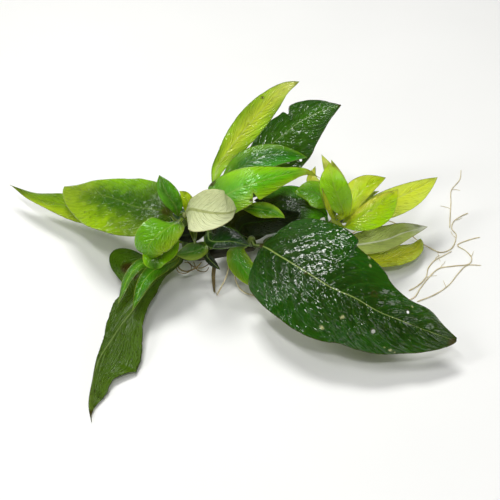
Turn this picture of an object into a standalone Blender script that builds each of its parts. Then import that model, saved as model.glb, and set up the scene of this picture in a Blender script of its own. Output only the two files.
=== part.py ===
"""Hygrophila, an aquarium plant, pulled up with its roots and laid on a flat surface.

X runs to the right, Y away from the viewer and Z up, and the surface is at Z = 0. The plant stands
on the tip of its torn leaf and on its roots. Five stems fork from one another, and each leaf grows
from a stem. All sizes below are in millimetres, and become metres when a mesh is made.
"""

import math
from dataclasses import dataclass

import bmesh
import bpy
from mathutils import Vector

for old in list(bpy.data.objects):
    bpy.data.objects.remove(old, do_unlink=True)

MM = 0.001
GAP = 0.4           # clear space between a stem and what grows from it
BLADE = 0.75        # thickness of a leaf beside its midrib
EDGE = 0.5          # thickness of a leaf at its margin
STALK = 1.4         # thickness of a leaf stalk
CURVE_STEPS = 24    # samples of a smooth path between two of its points
TANGENT_STEP = 0.01     # share of a path on each side of a point that its direction is read over
SETTLE = 0.22       # share of a leaf over which it turns from its stalk to the way that it faces
BACK_REACH = 0.35   # share of a blade over which its base lobes are carried back
ROW_CROWDING = 0.3  # 0 for rows of the same length, 1 for rows crowded at the base and the tip
LOBE_START = 0.05   # share of a blade over which its lobes come in, so that none touches the stem
FOLD_WIDTH = 3.0    # width of a half blade from which it folds in full, so that its stalk is flat
RIPPLE_OFFSET = 2.0     # radians by which the waves of a leaf's two margins differ
RIPPLE_WIDTH = 4.0      # width of a half blade from which its margin waves in full
SHIFT = Vector((4.1, 0.5, 0.0))     # puts the middle of the plant's box over the origin

STEM_STEP = 3.5     # length of a straight run of a stem's solid
ROOT_STEP = 2.5     # the same for a thick root
FINE_STEP = 7.0     # the same for a fine root
SIX_SIDES = 1       # bevel resolution of a six-sided solid
FOUR_SIDES = 0      # the same with four sides

# Base colours in linear light, with roughness, for the finishes of leaves, stems and roots.
FINISHES = {
    "deep": ((0.010, 0.048, 0.006), 0.25),
    "green": ((0.055, 0.190, 0.008), 0.30),
    "bright": ((0.250, 0.500, 0.010), 0.35),
    "pale": ((0.350, 0.480, 0.050), 0.45),
    "sage": ((0.250, 0.310, 0.090), 0.50),
    "cream": ((0.620, 0.680, 0.420), 0.50),
    "dull": ((0.035, 0.085, 0.016), 0.50),
    "stem": ((0.160, 0.200, 0.030), 0.45),
    "brown": ((0.150, 0.100, 0.030), 0.55),
    "root": ((0.600, 0.520, 0.260), 0.50),
}


@dataclass
class Half:
    """One half of a leaf blade, from the midrib out to its margin."""
    wide: float             # widest distance from midrib to margin
    peak: float = 0.45      # where along the leaf it is widest, from 0 at the base to 1 at the tip
    base: float = 0.8       # below 1 the base is round, above 1 it runs down to the stalk
    tip: float = 0.9        # below 1 the tip is round, above 1 it is drawn out
    lift: float = 0.0       # degrees that the half stands above flat where it leaves the midrib
    bend: float = 0.0       # degrees that it bends up between midrib and margin
    turn: float = 0.0       # degrees added to the lift from the base to the tip
    back: float = 0.0       # how far the margin is carried back past the base of the midrib
    lobes: tuple = ()       # (place, height, spread) of bulges, or of notches with a minus height


@dataclass
class Stem:
    """A tapering stem along a smooth path."""
    name: str
    path: tuple
    start_radius: float
    end_radius: float
    finish: str = "stem"


STEMS = {
    "crown": Stem("root_crown", ((-34, 3.5, 13.3), (-23, 3, 13.4), (-9, 4, 15.8), (3, 5.5, 17.8)),
                  2.5, 2.3, "brown"),
    "left": Stem("stem_left", ((-29.5, 2.5, 16.8), (-30.5, 5, 25), (-31, 8, 33), (-31, 9, 36)), 2.4, 1.7),
    "middle": Stem("stem_middle", ((-19, 3, 17.2), (-20, 8, 26), (-20, 13, 34), (-19, 16, 38)), 2.5, 1.7),
    "front": Stem("stem_front", ((0, 2.5, 20.9), (0.5, 1.5, 24.5), (1, -0.5, 28.5)), 2.3, 1.6),
    "right": Stem("stem_right", ((6.2, 5.2, 18.3), (18, 8, 21), (32, 10, 24), (41, 10, 28), (43, 9, 33)),
                  2.6, 1.5),
}


def between(p, q, place_p, place_q, place):
    """The point that a straight line through p and q has at a place, given the places of p and q."""
    return p.lerp(q, (place - place_p) / (place_q - place_p))


def smooth_path(points):
    """A smooth curve through the given points, as fine points and the length up to each.

    It is a centripetal spline, whose knots stand as far apart as the square roots of the gaps
    between the points, so that it has no loops where a short gap meets a long one.
    """
    given = [Vector(point) for point in points]
    before = given[0] * 2 - given[1]
    after = given[-1] * 2 - given[-2]
    ends = [before] + given + [after]
    fine = []
    for a, b, c, d in zip(ends, ends[1:], ends[2:], ends[3:]):
        knot_b = math.sqrt((b - a).length)
        knot_c = knot_b + math.sqrt((c - b).length)
        knot_d = knot_c + math.sqrt((d - c).length)
        for step in range(CURVE_STEPS):
            at = knot_b + (knot_c - knot_b) * step / CURVE_STEPS
            ab = between(a, b, 0.0, knot_b, at)
            bc = between(b, c, knot_b, knot_c, at)
            cd = between(c, d, knot_c, knot_d, at)
            abc = between(ab, bc, 0.0, knot_c, at)
            bcd = between(bc, cd, knot_b, knot_d, at)
            fine.append(between(abc, bcd, knot_b, knot_c, at))
    fine.append(given[-1])
    lengths = [0.0]
    for p, q in zip(fine, fine[1:]):
        lengths.append(lengths[-1] + (q - p).length)
    return fine, lengths


def along(curve, fraction):
    """The point at a fraction of a smooth curve's length."""
    fine, lengths = curve
    target = min(max(fraction, 0.0), 1.0) * lengths[-1]
    for i in range(1, len(fine)):
        if lengths[i] >= target:
            share = (target - lengths[i - 1]) / max(lengths[i] - lengths[i - 1], 1e-9)
            return fine[i - 1].lerp(fine[i], share)
    return fine[-1]


def direction(curve, fraction):
    """The unit tangent of a smooth curve."""
    ahead = along(curve, fraction + TANGENT_STEP)
    behind = along(curve, fraction - TANGENT_STEP)
    return (ahead - behind).normalized()


def faced(facing, fraction):
    """The direction that a leaf's upper face looks in, blended between the given directions."""
    if len(facing) == 1:
        return Vector(facing[0])
    place = min(max(fraction, 0.0), 1.0) * (len(facing) - 1)
    step = min(int(place), len(facing) - 2)
    share = place - step
    eased = share * share * (3 - 2 * share)
    return Vector(facing[step]).lerp(Vector(facing[step + 1]), eased)


def leaf_frames(curve, facing, places):
    """For each place along a midrib, its point, its direction and the direction of the upper face.

    Below SETTLE the upper face is carried back along the midrib without a twist, because a stalk
    that leaves its stem may run in the very direction that the blade faces.
    """
    frames = []
    for t in places:
        tangent = direction(curve, t)
        up = faced(facing, t)
        frames.append([along(curve, t), tangent, (up - tangent * up.dot(tangent)).normalized()])
    for i in reversed(range(len(places) - 1)):
        if places[i] < SETTLE:
            turn = frames[i + 1][1].rotation_difference(frames[i][1])
            frames[i][2] = turn @ frames[i + 1][2]
    return frames


def stalk_start(stem, height, towards):
    """Where a stalk leaves a stem: clear of its side, on the side that faces a point."""
    curve = smooth_path(stem.path)
    axis = direction(curve, height)
    centre = along(curve, height)
    outward = Vector(towards) - centre
    outward = (outward - axis * outward.dot(axis)).normalized()
    radius = stem.start_radius + (stem.end_radius - stem.start_radius) * height
    return centre + outward * (radius + GAP), outward


def half_width(half, t, narrow):
    """Distance from midrib to margin at t, no less than the stalk or the tip there."""
    shifted = t ** (math.log(0.5) / math.log(half.peak))
    power = half.base if t < half.peak else half.tip
    width = half.wide * max(math.sin(math.pi * shifted), 0.0) ** power
    for place, height, spread in half.lobes:
        width += height * math.exp(-((t - place) / spread) ** 2) * min(t / LOBE_START, 1.0)
    return max(width, narrow)


def node_object(name, mesh, finish):
    """A named object with its own material."""
    thing = bpy.data.objects.new(name, mesh)
    bpy.context.collection.objects.link(thing)
    material = bpy.data.materials.new(name)
    material.use_nodes = True
    shader = material.node_tree.nodes["Principled BSDF"]
    colour, roughness = FINISHES[finish]
    shader.inputs["Base Color"].default_value = (*colour, 1.0)
    shader.inputs["Roughness"].default_value = roughness
    shader.inputs["Metallic"].default_value = 0.0
    thing.data.materials.append(material)
    return thing


def row_place(even):
    """Where a row of a leaf's faces lies. The rows are a little closer at the base and the tip."""
    closer = (1 - math.cos(math.pi * even)) / 2
    return even * (1 - ROW_CROWDING) + closer * ROW_CROWDING


def leaf(name, stem, height, spine, facing, left, right, finish, cells=(6, 10), stalk=0.08,
         stalk_half=0.8, tip_half=0.7, reach=1.5, wave=(0.0, 3.0, 0.0)):
    """A leaf as a closed thin solid, grown from a stem along its midrib.

    spine holds the midrib's points after the stalk's start. facing holds the directions that the
    upper face looks in, from base to tip. cells are the columns across and the rows along the blade.
    stalk is the share of the length with no blade. reach is how far it leaves the stem straight.
    wave is the margin's height, number and phase.
    """
    start, outward = stalk_start(STEMS[stem], height, spine[0])
    curve = smooth_path((start, start + outward * reach, *spine))
    columns, rows = cells
    places = [row_place(row / rows) for row in range(rows + 1)]
    frames = leaf_frames(curve, facing, places)

    def place(s, row):
        t = places[row]
        mid, tangent, up = frames[row]
        side = up.cross(tangent)
        half = left if s < 0 else right
        narrow = stalk_half + (tip_half - stalk_half) * t
        blade_t = max(t - stalk, 0.0) / (1 - stalk)
        margin = half_width(half, blade_t, narrow)
        width = margin * abs(s)
        fold = (half.lift + half.turn * blade_t + half.bend * abs(s) / 2) * min(1.0, margin / FOLD_WIDTH)
        angle = math.radians(fold)
        ripple = wave[0] * s * s * math.sin(2 * math.pi * (wave[1] * t + wave[2]) + (s > 0) * RIPPLE_OFFSET)
        ripple *= min(1.0, width / RIPPLE_WIDTH)
        outward_side = side if s < 0 else -side
        swept = half.back * abs(s) * max(1 - blade_t / BACK_REACH, 0.0) * (t > stalk)
        return (mid - tangent * swept + outward_side * width * math.cos(angle)
                + up * (width * math.sin(angle) + ripple))

    bm = bmesh.new()
    bmesh.ops.create_grid(bm, x_segments=columns, y_segments=rows, size=1.0)
    layer = bm.verts.layers.deform.verify()
    for vertex in bm.verts:
        s = vertex.co.x
        row = round((vertex.co.y + 1) / 2 * rows)
        stalkness = max(1 - places[row] / stalk, 0.0)
        blade = EDGE + (BLADE - EDGE) * (1 - abs(s))
        vertex[layer][0] = (blade + (STALK - blade) * stalkness) / STALK
        vertex.co = (place(s, row) + SHIFT) * MM
    mesh = bpy.data.meshes.new(name)
    bm.to_mesh(mesh)
    bm.free()
    thing = node_object(name, mesh, finish)
    thing.vertex_groups.new(name="thickness")
    wall = thing.modifiers.new("Thickness", "SOLIDIFY")
    wall.thickness = STALK * MM
    wall.offset = 0.0
    wall.vertex_group = "thickness"
    wall.use_even_offset = False
    return thing


def tube(name, path, start_radius, end_radius, finish, step, sides):
    """A tapering solid along a smooth path, as a bevelled curve with closed ends."""
    curve = smooth_path(path)
    count = max(int(curve[1][-1] / step), 3)
    shape = bpy.data.curves.new(name, "CURVE")
    shape.dimensions = "3D"
    shape.bevel_depth = MM
    shape.bevel_resolution = sides
    shape.use_fill_caps = True
    line = shape.splines.new("POLY")
    line.points.add(count)
    for i, point in enumerate(line.points):
        t = i / count
        point.co = (*((along(curve, t) + SHIFT) * MM), 1.0)
        point.radius = start_radius + (end_radius - start_radius) * t
    return node_object(name, shape, finish)


def build_stems():
    for stem in STEMS.values():
        tube(stem.name, stem.path, stem.start_radius, stem.end_radius, stem.finish, STEM_STEP,
             SIX_SIDES)


def build_largest_leaf():
    leaf("leaf_largest", "front", 0.85,
         [(3.2, -6, 29), (6, -10.5, 33), (13, -20, 36.5), (24, -31, 38), (34, -39, 37), (45, -43, 34),
          (55, -47, 30), (69, -49, 24), (80, -50, 19), (90, -50, 14)],
         facing=[(-0.15, -0.44, 0.85), (-0.10, -0.42, 0.88), (0.0, -0.40, 0.90)],
         left=Half(29, peak=0.27, base=0.42, tip=1.15, lift=-12, bend=-8, back=2,
                   lobes=((0.88, 6, 0.10),)),
         right=Half(24, peak=0.33, base=0.35, tip=0.68, lift=-14, bend=-16, back=3.5),
         finish="deep", cells=(10, 15), stalk=0.10, stalk_half=1.3, wave=(0.8, 3.0, 0.1))


def build_left_leaves():
    leaf("leaf_far_left", "left", 0.45,
         [(-43, 17, 25), (-63, 23, 22), (-79, 30, 18), (-97, 39, 14.5), (-113, 47, 12.5), (-125, 56, 12)],
         facing=[(0, -0.15, 1)],
         left=Half(8.5, peak=0.40, base=0.9, tip=1.3, lift=-4, bend=-8),
         right=Half(10.5, peak=0.42, base=0.9, tip=1.2, lift=-4, bend=-6),
         finish="green", cells=(4, 11), wave=(0.5, 2.5, 0.3))
    leaf("leaf_left_broad", "left", 0.80,
         [(-38, 8, 37), (-51, 11, 37), (-63, 20, 34), (-78, 31, 29), (-93, 42, 23)],
         facing=[(0, -0.25, 0.95)],
         left=Half(18, peak=0.45, base=0.7, tip=0.6, lift=-4, bend=-14),
         right=Half(17.5, peak=0.34, base=0.5, tip=1.1, lift=-4, bend=-6),
         finish="green", cells=(8, 12), wave=(0.6, 2.5, 0.0))
    leaf("leaf_left_young", "left", 0.97,
         [(-34, 7, 41), (-38, 10.5, 46), (-42, 20, 49)],
         facing=[(0.3, -0.6, 0.7)],
         left=Half(4.5, peak=0.5, lift=14), right=Half(5, peak=0.5, lift=14),
         finish="green", cells=(4, 7), stalk_half=0.6)
    leaf("leaf_left_bud", "left", 0.93,
         [(-29, 13.5, 37), (-30.5, 16, 40), (-33, 18, 41)],
         facing=[(0.2, -0.6, 0.8)],
         left=Half(3, peak=0.5), right=Half(3, peak=0.5),
         finish="bright", cells=(4, 5), stalk_half=0.6)
    leaf("leaf_left_curled", "left", 0.86,
         [(-35, -1.5, 38), (-40.5, -8.5, 39), (-45, -12, 36), (-46, -13.5, 31), (-45, -11, 26)],
         facing=[(-0.2, -0.4, 0.9), (-0.4, -0.8, 0.4), (-0.3, -0.9, -0.2)],
         left=Half(8.5, peak=0.5, base=0.7, tip=0.45, lift=-8, bend=-10),
         right=Half(9, peak=0.5, base=0.6, tip=0.45, lift=-8, bend=-10),
         finish="bright", cells=(6, 9))
    leaf("leaf_left_cupped", "left", 0.50,
         [(-36.5, 1, 25), (-41, -5.5, 25.5), (-43.5, -11, 24), (-43.5, -13.5, 21)],
         facing=[(-0.2, -0.4, 0.9), (-0.2, -0.8, 0.5)],
         left=Half(7.5, peak=0.55, base=0.6, tip=0.45, lift=8),
         right=Half(7.5, peak=0.55, base=0.6, tip=0.45, lift=8),
         finish="green", cells=(4, 8))
    leaf("leaf_left_strap_1", "left", 0.28,
         [(-39, 0, 17.5), (-46, -5.5, 18), (-51.5, -9.5, 19.5), (-56, -17, 18.5), (-58, -23, 16),
          (-60, -28, 13)],
         facing=[(-0.5, -0.5, 0.8)],
         left=Half(3.2, peak=0.5), right=Half(3.2, peak=0.5),
         finish="bright", cells=(4, 7), stalk_half=0.7)
    leaf("leaf_left_strap_2", "left", 0.10,
         [(-35, -5, 18.5), (-39, -8.5, 19.5), (-45, -14.5, 20.5), (-49, -21.5, 19.5), (-51.5, -28, 16),
          (-53, -32, 13)],
         facing=[(-0.4, -0.6, 0.8)],
         left=Half(4.6, peak=0.5), right=Half(3.6, peak=0.45),
         finish="bright", cells=(4, 7), stalk_half=0.7)
    leaf("leaf_folded_pale", "left", 0.97,
         [(-29, 4, 41), (-26.5, 0, 46), (-22, -5, 49.5), (-16, -8, 51), (-10, -7, 50), (-6, -1, 46.5)],
         facing=[(-0.6, -0.5, 0.6), (-0.3, -0.65, 0.7), (0.2, -0.7, 0.7)],
         left=Half(10.6, peak=0.60, base=0.75, tip=0.38, lift=4),
         right=Half(9.6, peak=0.38, base=0.62, tip=1.3, lift=4),
         finish="cream", cells=(6, 8), stalk=0.16)


def build_torn_leaf():
    leaf("leaf_torn", "crown", 0.04,
         [(-37.5, -7, 13), (-45, -14.5, 12), (-53, -29, 10.5), (-58, -38, 9.5), (-62, -46, 8),
          (-66, -54, 6.3), (-68, -65, 3.9), (-68.5, -75, 1.9), (-66.5, -83, 0.8)],
         facing=[(-0.4, -0.3, 0.8), (-0.3, -0.3, 0.8), (-0.2, -0.4, 0.8), (0, -0.4, 0.8)],
         left=Half(17, peak=0.64, base=2.0, tip=1.9, lift=-24, turn=16, bend=-8,
                   lobes=((0.20, 3, 0.10), (0.76, -5, 0.07))),
         right=Half(11.5, peak=0.30, base=0.8, tip=4.0, lift=12, turn=-26, bend=-6,
                    lobes=((0.145, 20, 0.07), (0.24, -3, 0.05))),
         finish="dull", cells=(8, 15), stalk=0.06, stalk_half=1.0, tip_half=0.9)


def build_middle_leaves():
    leaf("leaf_upright_pale", "middle", 0.88,
         [(-17.5, 27, 36), (-16, 33.5, 41.5), (-10.5, 39, 48), (-5, 43, 54), (2, 46.5, 61.5), (9, 49, 68.5),
          (16, 51, 75), (23, 53, 78)],
         facing=[(0.2, -0.5, 0.8), (0.1, -0.8, 0.5), (0.0, -0.8, 0.6), (0, -0.6, 0.8)],
         left=Half(6.8, peak=0.60, base=1.0, tip=0.8, lift=10, bend=-8),
         right=Half(6.8, peak=0.55, base=1.0, tip=0.9, lift=10, bend=-8),
         finish="pale", cells=(6, 11), wave=(0.9, 3.0, 0.2))
    leaf("leaf_upright_dark", "middle", 0.66,
         [(-12, 25, 34), (0, 37.5, 41), (10, 44, 48), (17, 47, 53), (24, 49, 58), (33, 50, 63), (43, 50, 67)],
         facing=[(-0.34, -0.47, 0.71)],
         left=Half(14.5, peak=0.66, base=1.2, tip=1.15, lift=-18, bend=-6, lobes=((0.68, -4, 0.045),)),
         right=Half(18.5, peak=0.50, base=0.8, tip=0.9, lift=-18, bend=-6),
         finish="deep", cells=(8, 11), wave=(0.5, 2.0, 0.0))
    leaf("leaf_back_green", "middle", 0.90,
         [(-12.5, 21, 39), (-2, 29.5, 48), (9, 33, 51), (19, 33, 51), (27, 33, 49)],
         facing=[(0, -0.3, 0.95)],
         left=Half(8, peak=0.5, base=1.2, lift=-8, bend=-8),
         right=Half(8, peak=0.5, base=1.2, lift=-8, bend=-8),
         finish="green", cells=(6, 9), reach=3)
    leaf("leaf_back_bright", "middle", 0.92,
         [(-17.5, 9.5, 41), (-13, 9, 45), (-6, 10, 49), (2, 12, 51), (16, 18, 51), (26, 22.5, 49),
          (33, 25, 43)],
         facing=[(-0.1, -0.5, 0.85), (0, -0.5, 0.85)],
         left=Half(10.5, peak=0.22, base=0.5, tip=1.3, lift=-6, bend=-10, back=2),
         right=Half(9.5, peak=0.20, base=0.5, tip=1.2, lift=-6, bend=-10, lobes=((0.38, -2.5, 0.03),)),
         finish="bright", cells=(8, 12), stalk=0.10, wave=(0.5, 2.5, 0.0))


def build_low_leaves():
    leaf("leaf_low_pointed", "middle", 0.38,
         [(-19, -1, 28), (-16, -5, 30.5), (-8, -6.5, 32), (0, -7.5, 30)],
         facing=[(0, -0.6, 0.8)],
         left=Half(7.5, peak=0.45), right=Half(3.5, peak=0.5),
         finish="deep", cells=(4, 8), stalk_half=0.6)
    leaf("leaf_low_left", "middle", 0.18,
         [(-23, -2, 23), (-28, -4, 22.5), (-34.5, -4.5, 21.5)],
         facing=[(0, -0.8, 0.6)],
         left=Half(4.3, peak=0.5, base=0.6), right=Half(4.3, peak=0.5, base=0.6),
         finish="green", cells=(4, 7), stalk_half=0.6)
    leaf("leaf_low_dark", "middle", 0.55,
         [(-23.5, 4, 29), (-28, 1, 29.5), (-35.5, 0, 28.5)],
         facing=[(0, -0.8, 0.6)],
         left=Half(4.2, peak=0.5), right=Half(4.2, peak=0.5),
         finish="deep", cells=(4, 5), stalk_half=0.6)
    leaf("leaf_under_left", "left", 0.08,
         [(-31, 10, 18.5), (-32, 18, 19), (-33, 27, 17), (-35, 37, 13)],
         facing=[(0, -0.2, 1)],
         left=Half(9, peak=0.4, base=0.6), right=Half(9, peak=0.4, base=0.6),
         finish="deep", cells=(4, 6))
    leaf("leaf_under_back", "middle", 0.10,
         [(-14, 12, 18.5), (-5, 19, 18), (6, 26, 17), (18, 33, 14)],
         facing=[(0, -0.3, 0.95)],
         left=Half(12, peak=0.4, base=0.6), right=Half(11, peak=0.45, base=0.7),
         finish="deep", cells=(4, 7))
    leaf("leaf_low_small", "middle", 0.05,
         [(-20, -4, 20), (-18, -6, 18.5), (-14, -7, 14)],
         facing=[(0.2, -0.5, 0.85)],
         left=Half(2, peak=0.5), right=Half(2, peak=0.5),
         finish="deep", cells=(4, 5), stalk_half=0.6)
    leaf("leaf_low_tiny", "left", 0.88,
         [(-27, 2, 36), (-25.5, -5, 35.5), (-25, -9, 33)],
         facing=[(0, -0.3, 0.9)],
         left=Half(2, peak=0.5), right=Half(2, peak=0.5),
         finish="green", cells=(4, 5), stalk_half=0.5)


def build_front_leaves():
    leaf("leaf_front_glossy", "front", 0.25,
         [(-5.5, -4, 24.5), (-5.5, -8, 23), (-1.5, -13.5, 18), (5.5, -18, 12)],
         facing=[(-0.5, -0.3, 0.8)],
         left=Half(5.5, peak=0.5), right=Half(6, peak=0.36, base=0.6),
         finish="green", cells=(4, 7))
    leaf("leaf_inner_shaded", "front", 0.45,
         [(-5, 3.5, 27), (-3.5, 6, 30.5), (4, 6, 32.5), (14, 7, 33.5), (24, 14, 31)],
         facing=[(-0.1, -0.4, 0.9)],
         left=Half(6.5, peak=0.5), right=Half(7, peak=0.45),
         finish="deep", cells=(4, 8))
    leaf("leaf_inner_curled", "middle", 0.84,
         [(-14, 12.5, 36.5), (-8, 11.5, 37), (-1, 9.5, 38), (4, 8, 38.7), (10, 6, 38.7), (16, 3.2, 37.5)],
         facing=[(-0.2, -0.7, 0.7)],
         left=Half(3.8, peak=0.62, base=2.5, tip=0.7), right=Half(3.8, peak=0.60, base=2.5, tip=1.3),
         finish="bright", cells=(4, 8), stalk=0.2, stalk_half=0.5)


def build_right_leaves():
    leaf("leaf_inner_dark", "right", 0.76,
         [(36, 15.5, 28), (31, 17, 31), (19, 21, 33), (2, 26, 28)],
         facing=[(0, -0.4, 0.9)],
         left=Half(10, peak=0.42, lift=-6), right=Half(8, peak=0.5, lift=-6),
         finish="deep", cells=(4, 8))
    leaf("leaf_inner_right", "right", 0.88,
         [(38, 16, 34), (34, 18, 37.5), (29, 20, 39), (21, 20.5, 38)],
         facing=[(0, -0.5, 0.85)],
         left=Half(7, peak=0.5, base=1.2), right=Half(6, peak=0.55, base=1.8),
         finish="green", cells=(4, 7), stalk=0.14, stalk_half=0.6)
    leaf("leaf_inner_pale", "right", 0.82,
         [(39, 19, 29), (33, 27, 32.5), (30, 32, 37), (31.5, 36, 41)],
         facing=[(0.1, -0.3, 0.9), (0.2, -0.9, 0.4), (0.2, -0.9, 0.4)],
         left=Half(4.5, peak=0.5), right=Half(4, peak=0.5),
         finish="pale", cells=(4, 6), stalk_half=0.5)
    leaf("leaf_right_front", "right", 0.98,
         [(43, 6.3, 37), (41.5, 6.5, 43), (38, 9, 52), (36, 18, 58)],
         facing=[(0, -0.9, 0.4)],
         left=Half(7, peak=0.6, lift=8), right=Half(6.5, peak=0.55, lift=8),
         finish="bright", cells=(4, 8), stalk_half=0.6)
    leaf("leaf_right_back_1", "right", 0.95,
         [(41.5, 16, 35.5), (40, 24, 41.5), (34, 35, 49)],
         facing=[(0, -0.4, 0.9), (0, -0.9, 0.4), (0, -0.9, 0.4)],
         left=Half(3.5, peak=0.5), right=Half(3.2, peak=0.5),
         finish="bright", cells=(4, 6), stalk_half=0.5)
    leaf("leaf_right_back_2", "right", 0.91,
         [(44.5, 16, 31.5), (44, 24, 36), (39, 36, 45)],
         facing=[(0, -0.4, 0.9), (0, -0.9, 0.4), (0, -0.9, 0.4)],
         left=Half(4, peak=0.5), right=Half(3.2, peak=0.5),
         finish="bright", cells=(4, 6), stalk_half=0.5)
    leaf("leaf_right_upper", "right", 0.93,
         [(47, 13, 34), (50, 18, 37), (56, 24, 39), (65, 30, 39)],
         facing=[(-0.2, -0.5, 0.85)],
         left=Half(7.5, peak=0.45, base=1.0), right=Half(4.5, peak=0.45),
         finish="bright", cells=(4, 7), stalk_half=0.5)
    leaf("leaf_right_pointed", "right", 0.90,
         [(47, 6, 32), (51, 6.5, 35), (60, 12, 38), (70, 22.5, 38)],
         facing=[(-0.1, -0.5, 0.85)],
         left=Half(4.5, peak=0.5), right=Half(9, peak=0.5, lift=-10, bend=-10),
         finish="bright", cells=(4, 8), stalk_half=0.6)
    leaf("leaf_right_long", "right", 0.66,
         [(39, 16, 23), (49, 19, 26.5), (60, 20.5, 29), (75, 28, 30), (93, 42, 29)],
         facing=[(-0.2, -0.5, 0.85)],
         left=Half(6, peak=0.55), right=Half(8.5, peak=0.55),
         finish="pale", cells=(4, 8), stalk_half=0.6, reach=2.5)
    leaf("leaf_right_thin", "right", 0.84,
         [(45, 16.5, 29), (54, 23, 32.5), (62, 26.5, 33.5)],
         facing=[(-0.2, -0.5, 0.85)],
         left=Half(2, peak=0.6), right=Half(2, peak=0.6),
         finish="pale", cells=(4, 6), stalk_half=0.5)
    leaf("leaf_right_sage", "right", 0.55,
         [(38, 5.5, 19.5), (45, 5, 18), (54, 6, 18), (65, 9, 18), (75, 15, 17), (87, 21, 15)],
         facing=[(0, -0.5, 0.85)],
         left=Half(7, peak=0.55), right=Half(5.5, peak=0.5),
         finish="sage", cells=(6, 9), stalk_half=0.7, reach=3)
    leaf("leaf_right_lower", "right", 0.40,
         [(34, 4.5, 14), (48, 3, 11), (61, 2, 10), (73, 7, 9), (81, 14, 7), (85, 22, 6)],
         facing=[(0, -0.5, 0.85)],
         left=Half(6, peak=0.6), right=Half(4.5, peak=0.75, base=1.2, tip=0.5),
         finish="bright", cells=(4, 9), stalk_half=0.7, reach=3)
    leaf("leaf_bud_1", "right", 1.0,
         [(38, 4, 38), (36, 1.5, 44), (34, 2, 49.5), (32, 4, 55.5)],
         facing=[(0.6, -0.6, 0.5)],
         left=Half(1.6, peak=0.5), right=Half(1.6, peak=0.5),
         finish="bright", cells=(4, 6), stalk_half=0.4)
    leaf("leaf_bud_2", "right", 0.83,
         [(42, 3, 30), (40.5, -0.5, 36), (36.5, -2, 42)],
         facing=[(0, -0.7, 0.7)],
         left=Half(1.8, peak=0.6), right=Half(1.8, peak=0.6),
         finish="bright", cells=(4, 5), stalk_half=0.4)
    leaf("leaf_bud_3", "right", 0.97,
         [(39.5, 10.5, 35), (36, 13.5, 39), (33, 18, 44)],
         facing=[(0.3, -0.7, 0.6)],
         left=Half(2.5, peak=0.5), right=Half(2.5, peak=0.5),
         finish="bright", cells=(4, 6), stalk_half=0.4)


def build_thick_roots():
    """Roots that come down from the crown to the surface."""
    tube("root_thick", ((-17, 0.3, 11.6), (-17.4, -4.5, 6.5), (-17, -10, 1.1)), 1.1, 0.8, "brown",
         ROOT_STEP, SIX_SIDES)
    tube("root_pale", ((-9.3, 0.6, 13), (-11.5, -5, 6.5), (-15.9, -11.6, 0.9)), 0.6, 0.5, "root",
         ROOT_STEP, SIX_SIDES)
    tube("root_loop", ((-33.5, 0, 11.8), (-34, -1.6, 9.6), (-31, -2.8, 8.4), (-27, -2.2, 9.2),
                       (-24.3, -0.8, 10.6), (-23, 0, 12)), 0.5, 0.45, "brown", ROOT_STEP, SIX_SIDES)
    tube("root_back_1", ((-24, 6.6, 12), (-25, 12, 7.5), (-28, 22, 1.3), (-27, 31, 0.9)), 0.9, 0.6, "brown",
         FINE_STEP, SIX_SIDES)
    tube("root_back_2", ((-10, 7.4, 14.4), (-7, 13, 9), (-3, 24, 1.4), (2, 34, 0.8)), 0.8, 0.5, "root",
         FINE_STEP, SIX_SIDES)


def build_fine_roots():
    """Long fine roots that lie along the surface at the right. Two of them start at a stem."""
    lie = 0.6       # height of a fine root's middle above the surface
    tube("root_long_1", ((-6.5, 1.2, 14.4), (-7, -6, 7), (-3, -10, 1.7), (12, -12, 0.7), (38, -10, lie),
                         (60, -15, lie), (77, -13, lie), (82, -6, lie), (87, 1, lie), (93, 7, lie),
                         (100, 8.5, lie), (108, 10, lie), (110, 14, lie), (108, 19, lie), (104.5, 23, lie),
                         (111, 27, lie), (117, 29, lie)), 0.55, 0.4, "root", FINE_STEP, FOUR_SIDES)
    tube("root_long_2", ((36, 8.5, 20.5), (38, 14, 12), (50, 22, 9), (62, 32, 9), (72, 33, 7), (81, 28, 3),
                         (86, 24, 1.1), (90, 21, 0.7), (95, 18, lie), (99.5, 19.5, lie), (102, 22, lie),
                         (104.5, 28, lie), (105, 31, lie), (103.5, 35, lie), (105, 40, lie),
                         (109, 44, lie), (114, 47, lie)), 0.55, 0.4, "root", FINE_STEP, FOUR_SIDES)
    tube("root_long_3", ((76, -8, lie), (81, -4.5, lie), (85.5, 1, lie), (87.5, 7, lie), (91, 12, lie),
                         (96, 15.5, lie), (101, 19, lie)), 0.5, 0.4, "root", FINE_STEP, FOUR_SIDES)
    tube("root_long_4", ((102.5, 35.5, lie), (104, 44, lie), (106, 54, lie), (108, 65, lie), (114, 74, lie),
                         (116, 82, lie)), 0.45, 0.35, "root", FINE_STEP, FOUR_SIDES)
    tube("root_long_5", ((79, -15, lie), (88, -10.5, lie), (96, -4, lie), (102, 4, lie), (107, 9, lie),
                         (114, 9, lie)), 0.45, 0.35, "root", FINE_STEP, FOUR_SIDES)


build_stems()
build_largest_leaf()
build_left_leaves()
build_torn_leaf()
build_middle_leaves()
build_low_leaves()
build_front_leaves()
build_right_leaves()
build_thick_roots()
build_fine_roots()
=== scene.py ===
"""The looks of a hygrophila, an aquarium plant that lies bare-root on a pale surface.

X runs to the right, Y away from the viewer and Z up, and the surface is at Z = 0. Each leaf is a
closed thin shell, shaped from its midrib outwards along the same midribs and margins as the solids
that it replaces. The quilted skin between its veins is in its mesh, and the finer network of veins
is in its material. Sizes are in millimetres, and become metres when a mesh is made.
"""

import math
from dataclasses import dataclass, replace

import bmesh
import bpy
import numpy as np
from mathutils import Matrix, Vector, noise


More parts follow.
